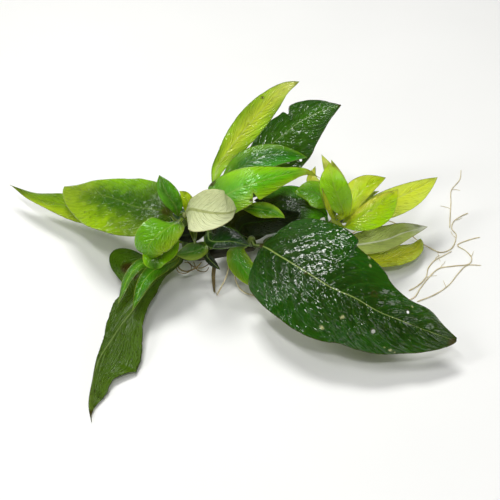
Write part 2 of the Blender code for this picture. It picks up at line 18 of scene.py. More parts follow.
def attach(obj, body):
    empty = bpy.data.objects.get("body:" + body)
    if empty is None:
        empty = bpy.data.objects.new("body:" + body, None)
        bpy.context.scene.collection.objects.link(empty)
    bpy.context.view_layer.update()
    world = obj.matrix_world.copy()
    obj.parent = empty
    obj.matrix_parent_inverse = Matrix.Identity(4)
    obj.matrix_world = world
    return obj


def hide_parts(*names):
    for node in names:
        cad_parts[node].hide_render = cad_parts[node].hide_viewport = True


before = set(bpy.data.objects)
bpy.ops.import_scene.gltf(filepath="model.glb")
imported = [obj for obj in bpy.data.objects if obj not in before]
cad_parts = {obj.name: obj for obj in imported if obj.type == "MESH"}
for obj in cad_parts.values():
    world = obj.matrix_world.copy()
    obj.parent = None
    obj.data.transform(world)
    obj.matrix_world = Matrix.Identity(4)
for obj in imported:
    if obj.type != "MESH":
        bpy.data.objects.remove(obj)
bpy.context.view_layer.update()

MM = 0.001
SHIFT = np.array([4.1, 0.5, 0.0])   # puts the middle of the plant's box over the origin
CURVE_STEPS = 24        # samples of a smooth path between two of its points
TANGENT_STEP = 0.01     # share of a path on each side of a point that its direction is read over
SETTLE = 0.22           # share of a leaf over which it turns from its stalk to the way that it faces
BACK_REACH = 0.35       # share of a blade over which its base lobes are carried back
LOBE_START = 0.05       # share of a blade over which its lobes come in
FOLD_WIDTH = 3.0        # width of a half blade from which it folds in full
RIPPLE_OFFSET = 2.0     # radians by which the waves of a leaf's two margins differ
RIPPLE_WIDTH = 4.0      # width of a half blade from which its margin waves in full

STAINS = ("brown", "blond", "bare")     # the last is a place without relief
FEWEST_ROWS = 24        # fewest faces along a leaf, and across each half of it
FEWEST_HALF_COLUMNS = 8
SWELL_SHAPE = 0.7       # below 1 the skin is broad between its veins, and its valleys are narrow
VEIN_CURVE = 1.25       # above 1 a side vein leaves the midrib squarely and then turns forward
COARSE_JAGS = 31        # coarse and fine unevenness of a margin, as waves along the blade
FINE_JAGS = 83
SAG_LENGTH = 9.0        # distance over which the slow unevenness of a blade changes
SAG_STEP = 4            # points of a blade between two at which that unevenness is worked out
GROOVE = 0.25           # depth of the groove over a midrib
GROOVE_WIDTH = 0.55     # half width of that groove
VEIN_BELOW = 0.12       # how far side veins stand out of the lower face
RIB_LOSS = 0.75         # share of its height that a midrib loses on the way to the tip
RING_HEIGHT = 0.07      # how far a ring stands out of a stem, as a share of its radius
RING_WIDTH = 0.09       # half width of a ring, as a share of the distance to the next

CELL = 0.62             # size of a face of a leaf's mesh
BLADE = 0.32            # thickness of a leaf beside its midrib
STALK = 0.75            # radius of a leaf stalk
IN_STEM = 0.6           # how deep a stalk starts inside its stem
TIP = 0.12              # half width of a leaf at its very tip
ROOTLET = 0.15          # radius of a side root
ROOTLET_STEPS = 5       # straight steps that a side root wanders in
LIE = 0.36              # height of the middle of a fine root that lies on the surface

# Paths and frames


def smooth_path(points):
    """A centripetal spline through the points, as fine points and the length up to each."""
    given = np.array(points, float)
    ends = np.vstack([2 * given[0] - given[1], given, 2 * given[-1] - given[-2]])
    fine = []
    for a, b, c, d in zip(ends, ends[1:], ends[2:], ends[3:]):
        knot_b = math.sqrt(np.linalg.norm(b - a))
        knot_c = knot_b + math.sqrt(np.linalg.norm(c - b))
        knot_d = knot_c + math.sqrt(np.linalg.norm(d - c))
        at = np.linspace(knot_b, knot_c, CURVE_STEPS, endpoint=False)[:, None]
        ab = a + (b - a) * at / knot_b
        bc = b + (c - b) * (at - knot_b) / (knot_c - knot_b)
        cd = c + (d - c) * (at - knot_c) / (knot_d - knot_c)
        abc = ab + (bc - ab) * at / knot_c
        bcd = bc + (cd - bc) * (at - knot_b) / (knot_d - knot_b)
        fine.append(abc + (bcd - abc) * (at - knot_b) / (knot_c - knot_b))
    fine = np.vstack([*fine, given[-1:]])
    steps = np.linalg.norm(np.diff(fine, axis=0), axis=1)
    return fine, np.concatenate([[0.0], np.cumsum(steps)])


def along(curve, places):
    """The points at shares of a smooth curve's length."""
    fine, lengths = curve
    target = np.clip(places, 0.0, 1.0) * lengths[-1]
    return np.stack([np.interp(target, lengths, fine[:, axis]) for axis in range(3)], axis=-1)


def unit(vectors):
    return vectors / np.maximum(np.linalg.norm(vectors, axis=-1, keepdims=True), 1e-12)


def directions(curve, places):
    return unit(along(curve, places + TANGENT_STEP) - along(curve, places - TANGENT_STEP))


def smoothstep(low, high, value):
    share = np.clip((value - low) / (high - low), 0.0, 1.0)
    return share * share * (3 - 2 * share)


def faced(facing, places):
    """The directions that a leaf's upper face looks in, blended between the given ones."""
    given = np.array(facing, float)
    if len(given) == 1:
        return np.repeat(given, len(places), axis=0)
    scaled = np.clip(places, 0.0, 1.0) * (len(given) - 1)
    step = np.minimum(scaled.astype(int), len(given) - 2)
    eased = smoothstep(0.0, 1.0, scaled - step)[:, None]
    return given[step] * (1 - eased) + given[step + 1] * eased


def leaf_frames(curve, facing, places):
    """The midrib's points, its directions, and the directions of the upper face, which is carried
    back to the stalk without a twist."""
    mid = along(curve, places)
    tangent = directions(curve, places)
    up = faced(facing, places)
    up = unit(up - tangent * np.sum(up * tangent, axis=1, keepdims=True))
    for i in reversed(range(len(places) - 1)):
        if places[i] < SETTLE:
            turn = Vector(tangent[i + 1]).rotation_difference(Vector(tangent[i]))
            up[i] = turn @ Vector(up[i + 1])
    return mid, tangent, up


def rough_value(x, y, z):
    """A smooth noise value for a place, from about -1 to 1, the same in each run."""
    return noise.noise(Vector((x, y, z)))


# Nodes and materials


def linear(hex_colour):
    """The linear colour of an sRGB hex value."""
    parts = [int(hex_colour[i:i + 2], 16) / 255 for i in (1, 3, 5)]
    return (*[c / 12.92 if c <= 0.04045 else ((c + 0.055) / 1.055) ** 2.4 for c in parts], 1.0)


def add(tree, kind, inputs=None, **settings):
    """Adds a node. inputs gives each socket a value, or another node's output to link from."""
    node = tree.nodes.new(kind)
    for name, value in settings.items():
        setattr(node, name, value)
    for socket, value in (inputs or {}).items():
        if isinstance(value, bpy.types.NodeSocket):
            tree.links.new(value, node.inputs[socket])
        else:
            node.inputs[socket].default_value = value
    return node


def maths(tree, operation, *values):
    return add(tree, "ShaderNodeMath", dict(enumerate(values)), operation=operation).outputs[0]


def mapped(tree, value, low, high, start=0.0, end=1.0, smooth=False):
    """A value carried over from the range low to high to the range start to end."""
    return add(tree, "ShaderNodeMapRange", {0: value, 1: low, 2: high, 3: start, 4: end},
               interpolation_type="SMOOTHSTEP" if smooth else "LINEAR").outputs[0]


def mixed(tree, share, first, second, blend="MIX"):
    """Two colours, blended by the share of the second."""
    return add(tree, "ShaderNodeMix", {0: share, 6: first, 7: second}, data_type="RGBA",
               blend_type=blend).outputs[2]


def patches(tree, place, size, detail):
    """A noise node whose patches have a size in millimetres."""
    return add(tree, "ShaderNodeTexNoise", {"Vector": place, "Scale": 1 / (size * MM), "Detail": detail})


def new_material(name):
    material = bpy.data.materials.new(name)
    material.use_nodes = True
    material.node_tree.nodes.clear()
    return material, material.node_tree


@dataclass
class Skin:
    """The skin of one face of a leaf."""
    centre: str             # colour beside the midrib
    margin: str             # colour at the margin
    vein: str               # colour of the side veins
    rib: str                # colour of the midrib
    rim: str                # colour of the very edge
    left: str = ""          # colour at the margin of the left half, where it differs
    foot: str = ""          # colour of the first part, where it differs
    foot_to: float = 0.3    # share of the blade over which the foot's colour fades
    tip: str = ""           # colour of the last part, where it differs
    tip_from: float = 0.7   # share of the blade from which the tip's colour comes in
    spread: float = 0.5     # share of a half from the midrib over which the centre's colour fades
    vein_show: float = 0.3      # how clearly the side veins show
    vein_wide: float = 0.07     # half width of a side vein, as a share of the distance to the next
    rib_width: float = 0.3      # half width of the midrib's line at the base
    rib_show: float = 0.75  # how clearly the midrib shows
    rim_wide: float = 0.35  # width of the very edge's colour
    gloss: float = 1.0      # weight of the wet film on the skin
    film: float = 0.04      # roughness of that film
    rough: float = 0.42     # roughness of the skin below it
    relief: float = 0.42    # height of the network of fine veins
    cells: float = 4.0      # meshes of that network between two side veins
    mesh_mm: float = 1.5    # length of a mesh of that network, away from the midrib
    grain: float = 0.01     # height of the finest grain
    blotch_and_relief_shade: float = 0.25    # how much the colour varies from place to place, and how far the network's hollows are painted in shade and its bulges in light
    thin: float = 0.15      # share of the skin that lets light through
    through: str = "#b9cf3e"    # colour of the light that passes through
    specks: float = 0.0     # how many brown specks there are


SKINS = {
    # Old leaves, wet and very dark, with a skin that swells between its veins.
    "deep": Skin("#0a2706", "#16390a", "#2c5a14", "#7d9a48", "#33300f", thin=0.06, blotch_and_relief_shade=0.45),
    # Grown leaves, darker beside the midrib.
    "green": Skin("#2c6a0c", "#5c921a", "#578c20", "#6f8f34", "#7f8a30", thin=0.28, blotch_and_relief_shade=0.3),
    # Young leaves, thin enough for the light to come through.
    "bright": Skin("#5c9c0a", "#8fc00f", "#9cc832", "#b6d24a", "#98a030", thin=0.25,
                   vein_show=0.12, blotch_and_relief_shade=0.07, relief=0.6, rib_show=0.5),
    # Upright pale leaf and the long one at the right, finely ribbed, with a thinner film of water.
    "pale": Skin("#8cb022", "#a9c430", "#bccf52", "#ccdb78", "#8d9a3c", gloss=0.9, film=0.06, thin=0.15,
                 vein_show=0.12, blotch_and_relief_shade=0.07, relief=0.45, rib_show=0.5),
    # Underside that looks up: greyish, with raised pale veins.
    "sage": Skin("#8d9c52", "#a5b167", "#b0ba78", "#cdd29a", "#8d8148", gloss=0.5, film=0.2, thin=0.1),
    # Pale underside of the folded leaf, with olive veins.
    "cream": Skin("#c4cb95", "#d9dfb4", "#a9b074", "#8e9648", "#b3ae68", gloss=0.4, film=0.25, thin=0.1,
                  blotch_and_relief_shade=0.07, vein_show=0.6, vein_wide=0.1),
    # Old torn leaf, underside up, dull and dark.
    "dull": Skin("#3c5c18", "#4d7020", "#5f7c34", "#6f8440", "#2c3614", gloss=0.6, film=0.16, thin=0.1,
                 vein_show=0.6, vein_wide=0.1),
}

# Painted shade: leaves deep in the bunch, coloured nearly black for the shadow there, with a thinner film of
# water that keeps reflections off them.
SKINS["shaded"] = replace(SKINS["deep"], rib="#1f4012", vein="#143008", rim="#1d3a0c", gloss=0.15,
                          film=0.2)

# The skin of the lower face that belongs to each skin of the upper face.
UNDERSIDES = {"deep": "sage", "green": "sage", "bright": "pale", "pale": "pale", "sage": "green",
              "cream": "green", "dull": "deep", "shaded": "shaded"}

# Painted shade in the hollows of the network of fine veins, and painted light on its bulges: how far they
# dim and brighten the colour.
HOLLOW_SHADE_TINT = (0.45, 0.52, 0.42, 1.0)
BULGE_LIGHT_TINT = (1.3, 1.25, 1.2, 1.0)


def vein_network(tree, skin, value, place):
    """The network of fine veins, as how deep a point lies in a mesh: meshes stretch across from one
    side vein to the next."""
    count = maths(tree, "MULTIPLY", value["vein"], skin.cells)
    out = maths(tree, "DIVIDE", value["rib_mm"], skin.mesh_mm)
    spot = add(tree, "ShaderNodeCombineXYZ", {0: count, 1: out}).outputs[0]
    wander = patches(tree, place, 2.0, 2.0).outputs["Color"]
    spot = add(tree, "ShaderNodeVectorMath", {0: spot, 1: wander}, operation="ADD").outputs[0]
    network = add(tree, "ShaderNodeTexVoronoi", {"Vector": spot, "Scale": 1.0, "Smoothness": 0.4},
                  feature="SMOOTH_F1").outputs["Distance"]
    return mapped(tree, network, 0.1, 0.8, 1.0, 0.0)


def leaf_colour(tree, skin, value, place, dimple):
    """From the centre's colour to the margin's, with veins, midrib, rim and stains over it, and painted
    shade and light on the fine vein network.
    """
    # Cloudy change of colour, with patches about 6 mm across.
    shade = maths(tree, "SUBTRACT", patches(tree, place, 6.0, 4.0).outputs[0], 0.5)
    lean = maths(tree, "MULTIPLY_ADD", shade, skin.blotch_and_relief_shade * 2.4, value["across"])
    outward = mapped(tree, lean, max(skin.spread - 0.4, 0.0), skin.spread + 0.4, smooth=True)
    margin = linear(skin.margin)
    if skin.left:
        margin = mixed(tree, mapped(tree, value["side"], -0.25, 0.25), linear(skin.left), margin)
    colour = mixed(tree, outward, linear(skin.centre), margin)
    place_along = maths(tree, "MULTIPLY_ADD", shade, skin.blotch_and_relief_shade, value["along"])
    for hue, low, high in ((skin.foot, skin.foot_to, 0.0), (skin.tip, skin.tip_from, 1.0)):
        if hue:
            colour = mixed(tree, mapped(tree, place_along, low, high, smooth=True), colour, linear(hue))

    # Side veins: thin lines where the vein count is whole, fading out towards the margin.
    from_vein = maths(tree, "PINGPONG", value["vein"], 0.5)
    line = mapped(tree, from_vein, 0.0, skin.vein_wide, 1.0, 0.0, smooth=True)
    fade = mapped(tree, value["across"], 0.55, 0.98, skin.vein_show, 0.0, smooth=True)
    colour = mixed(tree, maths(tree, "MULTIPLY", line, fade), colour, linear(skin.vein))
    # Painted shade darkens the hollows of the fine vein network, and painted light brightens its bulges.
    painted_relief_shading = mixed(tree, dimple, HOLLOW_SHADE_TINT, BULGE_LIGHT_TINT)
    colour = mixed(tree, skin.blotch_and_relief_shade * 1.6, colour, painted_relief_shading, "MULTIPLY")

    # Midrib, rim and stains.
    slim = mapped(tree, value["along"], 0.0, 1.0, skin.rib_width, skin.rib_width * 0.35)
    near = maths(tree, "DIVIDE", value["rib_mm"], slim)
    rib = mapped(tree, near, 0.6, 1.6, skin.rib_show, 0.0, smooth=True)
    colour = mixed(tree, rib, colour, linear(skin.rib))
    edge = mapped(tree, value["edge_mm"], 0.1, 0.1 + skin.rim_wide, 0.7, 0.0, smooth=True)
    colour = mixed(tree, edge, colour, linear(skin.rim))
    for stain, hue in (("blond", "#c9c88e"), ("brown", "#33200c")):
        colour = mixed(tree, value[stain], colour, linear(hue))
    if skin.specks:
        grit = patches(tree, place, 0.9, 1.0).outputs[0]
        fleck = mapped(tree, grit, 0.74 - skin.specks, 0.78 - skin.specks, 0.0, 0.8)
        colour = mixed(tree, fleck, colour, linear("#1d1a08"))
    return colour


def leaf_relief(tree, skin, value, place, dimple):
    """The network's relief over a grain half a millimetre across. It is uneven, and bare places
    have none."""
    grain = patches(tree, place, 0.5, 2.0).outputs[0]
    fine = add(tree, "ShaderNodeBump", {"Height": grain, "Distance": skin.grain * MM}).outputs[0]
    uneven = mapped(tree, patches(tree, place, 3.2, 1.0).outputs[0], 0.35, 0.65, 0.35, 1.0)
    strength = maths(tree, "MULTIPLY", uneven, mapped(tree, value["bare"], 0.0, 1.0, 1.0, 0.0))
    return add(tree, "ShaderNodeBump", {"Height": dimple, "Distance": skin.relief * MM,
                                        "Strength": strength, "Normal": fine}).outputs[0]


def leaf_skin(name, skin):
    """Wet leaf skin: a soft green body under a film of water, whose highlights break up on the fine
    network of veins. A share of the light comes through it."""
    material, tree = new_material(name)
    value = {key: add(tree, "ShaderNodeAttribute", attribute_name=key).outputs["Fac"]
             for key in ("across", "side", "vein", "rib_mm", "edge_mm", "along", *STAINS)}
    place = add(tree, "ShaderNodeTexCoord").outputs["Object"]
    dimple = vein_network(tree, skin, value, place)
    relief = leaf_relief(tree, skin, value, place, dimple)
    shader = add(tree, "ShaderNodeBsdfPrincipled", {
        "Base Color": leaf_colour(tree, skin, value, place, dimple), "Roughness": skin.rough,
        "Specular IOR Level": 0.03, "Normal": relief, "Coat Weight": skin.gloss,
        "Coat Roughness": skin.film, "Coat IOR": 1.5, "Coat Normal": relief}).outputs[0]
    through = add(tree, "ShaderNodeBsdfTranslucent", {"Color": linear(skin.through),
                                                      "Normal": relief}).outputs[0]
    both = add(tree, "ShaderNodeMixShader", {0: skin.thin, 1: shader, 2: through}).outputs[0]
    add(tree, "ShaderNodeOutputMaterial", {"Surface": both})
    return material


def root_skin(name, dark, light, rough, wet):
    """Root or stem: a fibrous, slightly see-through skin, streaked along its length."""
    material, tree = new_material(name)
    around = add(tree, "ShaderNodeAttribute", attribute_name="around").outputs["Fac"]
    length = add(tree, "ShaderNodeAttribute", attribute_name="length_mm").outputs["Fac"]
    place = add(tree, "ShaderNodeTexCoord").outputs["Object"]
    spot = add(tree, "ShaderNodeCombineXYZ", {0: maths(tree, "MULTIPLY", length, 0.25),
                                              1: maths(tree, "MULTIPLY", around, 9.0)}).outputs[0]
    streak = add(tree, "ShaderNodeTexNoise", {"Vector": spot, "Scale": 1.0, "Detail": 3.0}).outputs[0]
    blend = maths(tree, "ADD", streak, patches(tree, place, 5.0, 3.0).outputs[0])
    colour = mixed(tree, mapped(tree, blend, 0.75, 1.25), linear(dark), linear(light))
    bump = add(tree, "ShaderNodeBump", {"Height": streak, "Distance": 0.15 * MM}).outputs[0]
    shader = add(tree, "ShaderNodeBsdfPrincipled", {
        "Base Color": colour, "Roughness": rough, "Subsurface Weight": 0.25, "Subsurface Scale": 0.6 * MM,
        "Subsurface Radius": (1.0, 0.8, 0.4), "Coat Weight": wet, "Coat Roughness": 0.12, "Normal": bump,
        "Coat Normal": bump}).outputs[0]
    add(tree, "ShaderNodeOutputMaterial", {"Surface": shader})
    return material


# Shells


def sleeve(name, rows, columns, points, values, materials, under_from=None, seams=(0,), holes=()):
    """A closed skin wrapped round a row of rings, with a value of each name at each point.

    points holds rows + 1 rings of columns + 1 points, of which the last repeats the first. Faces
    from column under_from on get the second material, and the edges along seams stay sharp. holes
    holds (row, column, radius) of holes that go through from one face to the other.
    """
    bm = bmesh.new()
    bmesh.ops.create_grid(bm, x_segments=columns, y_segments=rows, size=1.0)
    layers = {key: bm.verts.layers.float.new(key) for key in values}
    bm.verts.ensure_lookup_table()
    place = ((points + SHIFT) * MM).reshape(-1, 3)
    flat = {key: np.broadcast_to(grid, points.shape[:2]).reshape(-1) for key, grid in values.items()}
    for face in bm.faces:
        face.smooth = True
        column = (face.calc_center_median().x + 1) / 2 * columns
        face.material_index = int(under_from is not None and column > under_from)
    for i, vertex in enumerate(bm.verts):
        vertex.co = place[i]
        for key, layer in layers.items():
            vertex[layer] = float(flat[key][i])
    for row in range(rows):
        for seam in seams:
            low, high = (bm.verts[r * (columns + 1) + seam] for r in (row, row + 1))
            bm.edges.get((low, high)).smooth = False
    grid = np.array(list(bm.verts), dtype=object).reshape(rows + 1, columns + 1)
    for hole in holes:
        pierce(bm, grid, points, hole)
    bmesh.ops.weld_verts(bm, targetmap={ring[-1]: ring[0] for ring in grid})
    bmesh.ops.holes_fill(bm, edges=[e for e in bm.edges if e.is_boundary], sides=0)
    return finished(name, bm, materials)


def pierce(bm, grid, points, hole):
    """Cuts a round hole through both faces of a shell, and joins the two cuts with a wall."""
    row, column, radius = hole
    upper = np.linalg.norm(points - points[row, column], axis=2) < radius
    upper[:, grid.shape[1] // 2:] = False
    walls = set()
    for inside, middle_column in ((upper, column), (upper[:, ::-1], -1 - column)):
        middle = Vector((points[row, middle_column] + SHIFT) * MM)
        gone = set(grid[inside])
        rim = {vert for old in gone for face in old.link_faces for vert in face.verts} - gone
        for vert in rim:
            vert.co = middle + (vert.co - middle).normalized() * radius * MM
        bmesh.ops.delete(bm, geom=list(gone), context="VERTS")
        walls |= {edge for vert in rim for edge in vert.link_edges if edge.is_boundary}
    bmesh.ops.bridge_loops(bm, edges=sorted(walls, key=lambda edge: tuple(edge.verts[0].co)))


def finished(name, bm, materials):
    """An object from a bmesh, with its faces turned outwards."""
    bmesh.ops.recalc_face_normals(bm, faces=bm.faces)
    mesh = bpy.data.meshes.new(name)
    bm.to_mesh(mesh)
    bm.free()
    for material in materials:
        mesh.materials.append(material)
    thing = bpy.data.objects.new(name, mesh)
    bpy.context.scene.collection.objects.link(thing)
    return thing


def grown(thing, node):
    """Rides on the plant's one body and stands for the node, whose part it hides."""
    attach(thing, "root")
    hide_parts(node)


# Stems


@dataclass
class Stem:
    name: str
    path: tuple
    start_radius: float
    end_radius: float


STEMS = {
    "crown": Stem("root_crown", ((-34, 3.5, 13.3), (-23, 3, 13.4), (-9, 4, 15.8), (3, 5.5, 17.8)), 2.5, 2.3),
    "left": Stem("stem_left", ((-29.5, 2.5, 16.8), (-30.5, 5, 25), (-31, 8, 33), (-31, 9, 36)), 2.4, 1.7),
    "middle": Stem("stem_middle", ((-19, 3, 17.2), (-20, 8, 26), (-20, 13, 34), (-19, 16, 38)), 2.5, 1.7),
    "front": Stem("stem_front", ((0, 2.5, 20.9), (0.5, 1.5, 24.5), (1, -0.5, 28.5)), 2.3, 1.6),
    "right": Stem("stem_right", ((6.2, 5.2, 18.3), (18, 8, 21), (32, 10, 24), (41, 10, 28), (43, 9, 33)),
                  2.6, 1.5),
}


def stalk_start(stem, height, towards, depth):
    """Where a stalk leaves a stem, at a depth under its skin on the side that faces a point."""
    curve = smooth_path(stem.path)
    axis = directions(curve, np.array([height]))[0]
    centre = along(curve, np.array([height]))[0]
    outward = np.array(towards, float) - centre
    outward = unit(outward - axis * np.dot(outward, axis))
    radius = stem.start_radius + (stem.end_radius - stem.start_radius) * height
    return centre + outward * (radius - depth), outward


# Leaves


@dataclass
class Half:
    """One half of a leaf blade, from the midrib out to its margin."""
    wide: float             # widest distance from midrib to margin
    peak: float = 0.45      # where along the leaf it is widest, from 0 at the base to 1 at the tip
    base: float = 0.8       # below 1 the base is round, above 1 it runs down to the stalk
    tip: float = 0.9        # below 1 the tip is round, above 1 it is drawn out
    lift: float = 0.0       # degrees that the half stands above flat where it leaves the midrib
    bend: float = 0.0       # degrees that it bends up between midrib and margin
    turn: float = 0.0       # degrees added to the lift from the base to the tip
    back: float = 0.0       # how far the margin is carried back past the base of the midrib
    lobes: tuple = ()       # (place, height, spread) of bulges, or of notches with a minus height


@dataclass
class Veins:
    """The side veins of a leaf, and how its skin swells between them."""
    count: float = 9.0      # side veins on each side of the midrib
    reach: float = 0.28     # share of the blade that a side vein runs forward
    swell: float = 0.25     # how far the skin stands up between veins, or below them with a minus
    sag: float = 0.35       # height of the slow unevenness of the blade
    ridge: float = 0.5      # how far the midrib stands out on the face with raised veins


def half_width(half, t, narrow):
    """Distance from midrib to margin at t, no less than the stalk or the tip there."""
    shifted = t ** (math.log(0.5) / math.log(half.peak))
    power = np.where(t < half.peak, half.base, half.tip)
    width = half.wide * np.maximum(np.sin(math.pi * shifted), 0.0) ** power
    for place, height, spread in half.lobes:
        width = width + height * np.exp(-((t - place) / spread) ** 2) * np.minimum(t / LOBE_START, 1.0)
    return np.maximum(width, narrow)


def blade_points(curve, facing, halves, stalk, stalk_half, wave, t, s, veins, seed, ragged):
    """The blade as a surface without thickness: points, and the values that its skin follows."""
    mid, tangent, up = leaf_frames(curve, facing, t)
    side = np.cross(up, tangent)
    blade_t = np.maximum(t - stalk, 0.0) / (1 - stalk)
    narrow = stalk_half + (TIP - stalk_half) * t
    share = np.abs(s)[None, :]
    left_side = (s < 0)[None, :]
    margins, folds, swepts = [], [], []
    for sign, half in zip((-1, 1), halves):
        margin = half_width(half, blade_t, narrow)
        jag = np.array([rough_value(place * COARSE_JAGS, seed, sign * 3.7)
                        + 0.6 * rough_value(place * FINE_JAGS, seed, sign) for place in blade_t])
        margin = np.maximum(margin + ragged * jag * smoothstep(1.0, 4.0, margin), narrow)
        fold = (half.lift + half.turn * blade_t[:, None] + half.bend * share / 2)
        margins.append(margin[:, None])
        folds.append(np.radians(fold * np.minimum(1.0, margin / FOLD_WIDTH)[:, None]))
        swepts.append(half.back * share * np.maximum(1 - blade_t / BACK_REACH, 0.0)[:, None])
    margin = np.where(left_side, margins[0], margins[1])
    fold = np.where(left_side, folds[0], folds[1])
    swept = np.where(left_side, swepts[0], swepts[1]) * smoothstep(stalk, stalk + 0.02, t)[:, None]
    width = margin * share
    ripple = wave[0] * share ** 2 * np.sin(2 * math.pi * (wave[1] * t[:, None] + wave[2])
                                          + np.where(left_side, 0.0, RIPPLE_OFFSET))
    ripple *= np.minimum(1.0, width / RIPPLE_WIDTH)
    across = np.where(left_side, 1.0, -1.0)[..., None] * side[:, None, :]
    points = (mid[:, None, :] - tangent[:, None, :] * swept[..., None]
              + across * (width * np.cos(fold))[..., None]
              + up[:, None, :] * (width * np.sin(fold) + ripple)[..., None])
    from_foot = blade_t[:, None] - veins.reach * share ** VEIN_CURVE
    phase = veins.count * from_foot + np.where(left_side, 0.0, 0.5)
    values = {"across": share + 0 * width, "side": s[None, :] + 0 * width, "vein": phase + 20.0,
              "rib_mm": width, "edge_mm": margin - width, "along": blade_t[:, None] + 0 * width}
    return points, values, margin


def face_heights(surface, values, margin, t, stalk, veins):
    """How far the upper and the lower face lie from the blade's middle: the skin swells between side
    veins and sags slowly, the midrib stands out on one face, and the stalk is round."""
    share = values["across"]
    width = values["rib_mm"]
    between = np.abs(np.sin(math.pi * values["vein"])) ** SWELL_SHAPE
    calm = smoothstep(0.3, 2.2, width) * (1 - share ** 3) * smoothstep(1.0, 6.0, margin)
    slow = np.array([[rough_value(*(point / SAG_LENGTH)) for point in row[::SAG_STEP]]
                     for row in surface[::SAG_STEP]])
    slow = resampled(slow, surface.shape[:2]) * smoothstep(1.5, 7.0, margin)
    relief = veins.sag * slow + abs(veins.swell) * (between - 0.5) * calm * (1 if veins.swell > 0 else -1)
    groove = np.exp(-(width / GROOVE_WIDTH) ** 2) * smoothstep(0.8, 3.0, margin)
    dome = np.sqrt(np.maximum(1 - share ** 2, 0.0))
    stalkness = (1 - smoothstep(0.0, stalk, t))[:, None]
    thick = np.minimum(BLADE, margin * 0.5) * np.sqrt(np.maximum(1 - share ** 6, 0.0))
    ridge = veins.ridge * (1 - RIB_LOSS * t[:, None]) * np.exp(-(width / (0.5 + 0.5 * veins.ridge)) ** 2)
    raised_up = veins.swell < 0
    top = relief - (0.0 if raised_up else GROOVE) * groove + (ridge if raised_up else 0.0)
    low = relief - thick - (0.0 if raised_up else ridge) - VEIN_BELOW * (1 - between) * calm
    top = top * (1 - stalkness) + STALK * dome * stalkness
    low = low * (1 - stalkness) - STALK * dome * stalkness
    return top, np.where(share >= 1.0 - 1e-9, top, low)


def grid_place(surface, along_leaf, across_leaf):
    """The row and column of a place, given along the leaf from 0 to 1 and across it from -1 to 1."""
    rows, columns = surface.shape[0] - 1, surface.shape[1] - 1
    return round(along_leaf * rows), round((across_leaf + 1) / 2 * columns)


def stain(values, surface, marks):
    """Adds how strongly each kind of stain covers each point. A ring is a brown rim round a hole."""
    for kind in STAINS:
        values[kind] = np.zeros_like(values["across"])
    for kind, along_leaf, across_leaf, radius in marks:
        spot = surface[grid_place(surface, along_leaf, across_leaf)]
        away = np.linalg.norm(surface - spot, axis=2) / radius
        if kind == "ring":
            values["brown"] = np.maximum(values["brown"], np.exp(-((away - 1.25) / 0.3) ** 2) * 0.9)
        else:
            values[kind] = np.maximum(values[kind], 1 - smoothstep(0.55, 1.15, away))


def leaf(name, stem, height, spine, facing, left, right, look, tones, under="", stalk=0.08,
         stalk_half=0.8, reach=1.5, wave=(0.0, 3.0, 0.0), veins=Veins(), cell=CELL, ragged=0.12, marks=(),
         holes=()):
    """A leaf as a closed shell, grown from a stem along its midrib.

    look names the skin of its upper face, tones holds what differs from that skin, and under names
    the skin of its lower face, where that isn't the one in UNDERSIDES. marks holds (kind, place
    along, place across, radius) of stains, and holes the same without the kind. A minus place
    across is on the left half.
    """
    inside, outward = stalk_start(STEMS[stem], height, spine[0], IN_STEM)
    start = inside + outward * IN_STEM
    curve = smooth_path((inside, start + outward * reach, *spine))
    seed = sum(ord(letter) for letter in name) * 0.173
    rows = max(int(curve[1][-1] / cell), FEWEST_ROWS)
    columns = 2 * max(int((left.wide + right.wide) / cell / 2), FEWEST_HALF_COLUMNS)
    t = np.linspace(0.0, 1.0, rows + 1)
    s = np.linspace(-1.0, 1.0, columns + 1)
    surface, values, margin = blade_points(curve, facing, (left, right), stalk, stalk_half, wave, t, s,
                                           veins, seed, ragged)
    normal = unit(np.cross(np.gradient(surface, axis=1), np.gradient(surface, axis=0)))
    _, _, up = leaf_frames(curve, facing, t)
    if np.sum(normal * up[:, None, :]) < 0:
        normal = -normal

    top, low = face_heights(surface, values, margin, t, stalk, veins)
    upper = surface + normal * top[..., None]
    lower = surface + normal * low[..., None]
    ring = np.concatenate([upper, lower[:, ::-1][:, 1:]], axis=1)
    stain(values, surface, marks)
    wrapped = {key: np.concatenate([grid, grid[:, ::-1][:, 1:]], axis=1) for key, grid in values.items()}
    skin = replace(SKINS[look], **tones)
    lower_skin = replace(SKINS[under or UNDERSIDES[look]], rim=skin.margin, rim_wide=0.8, thin=0.65,
                         through="#f6fbc8")
    skins = [leaf_skin(f"{name}_upper_skin", skin), leaf_skin(f"{name}_lower_skin", lower_skin)]
    cuts = [(*grid_place(surface, along_leaf, across_leaf), radius)
            for along_leaf, across_leaf, radius in holes]
    thing = sleeve(f"{name}_blade", rows, 2 * columns, ring, wrapped, skins, under_from=columns,
                   seams=(0, columns), holes=cuts)
    grown(thing, name)


def resampled(grid, shape):
    """A coarse grid of values, spread smoothly over a finer one."""
    rows = np.linspace(0, grid.shape[0] - 1, shape[0])
    columns = np.linspace(0, grid.shape[1] - 1, shape[1])
    wide = np.stack([np.interp(columns, np.arange(grid.shape[1]), row) for row in grid])
    return np.stack([np.interp(rows, np.arange(grid.shape[0]), wide[:, c]) for c in range(shape[1])], axis=1)


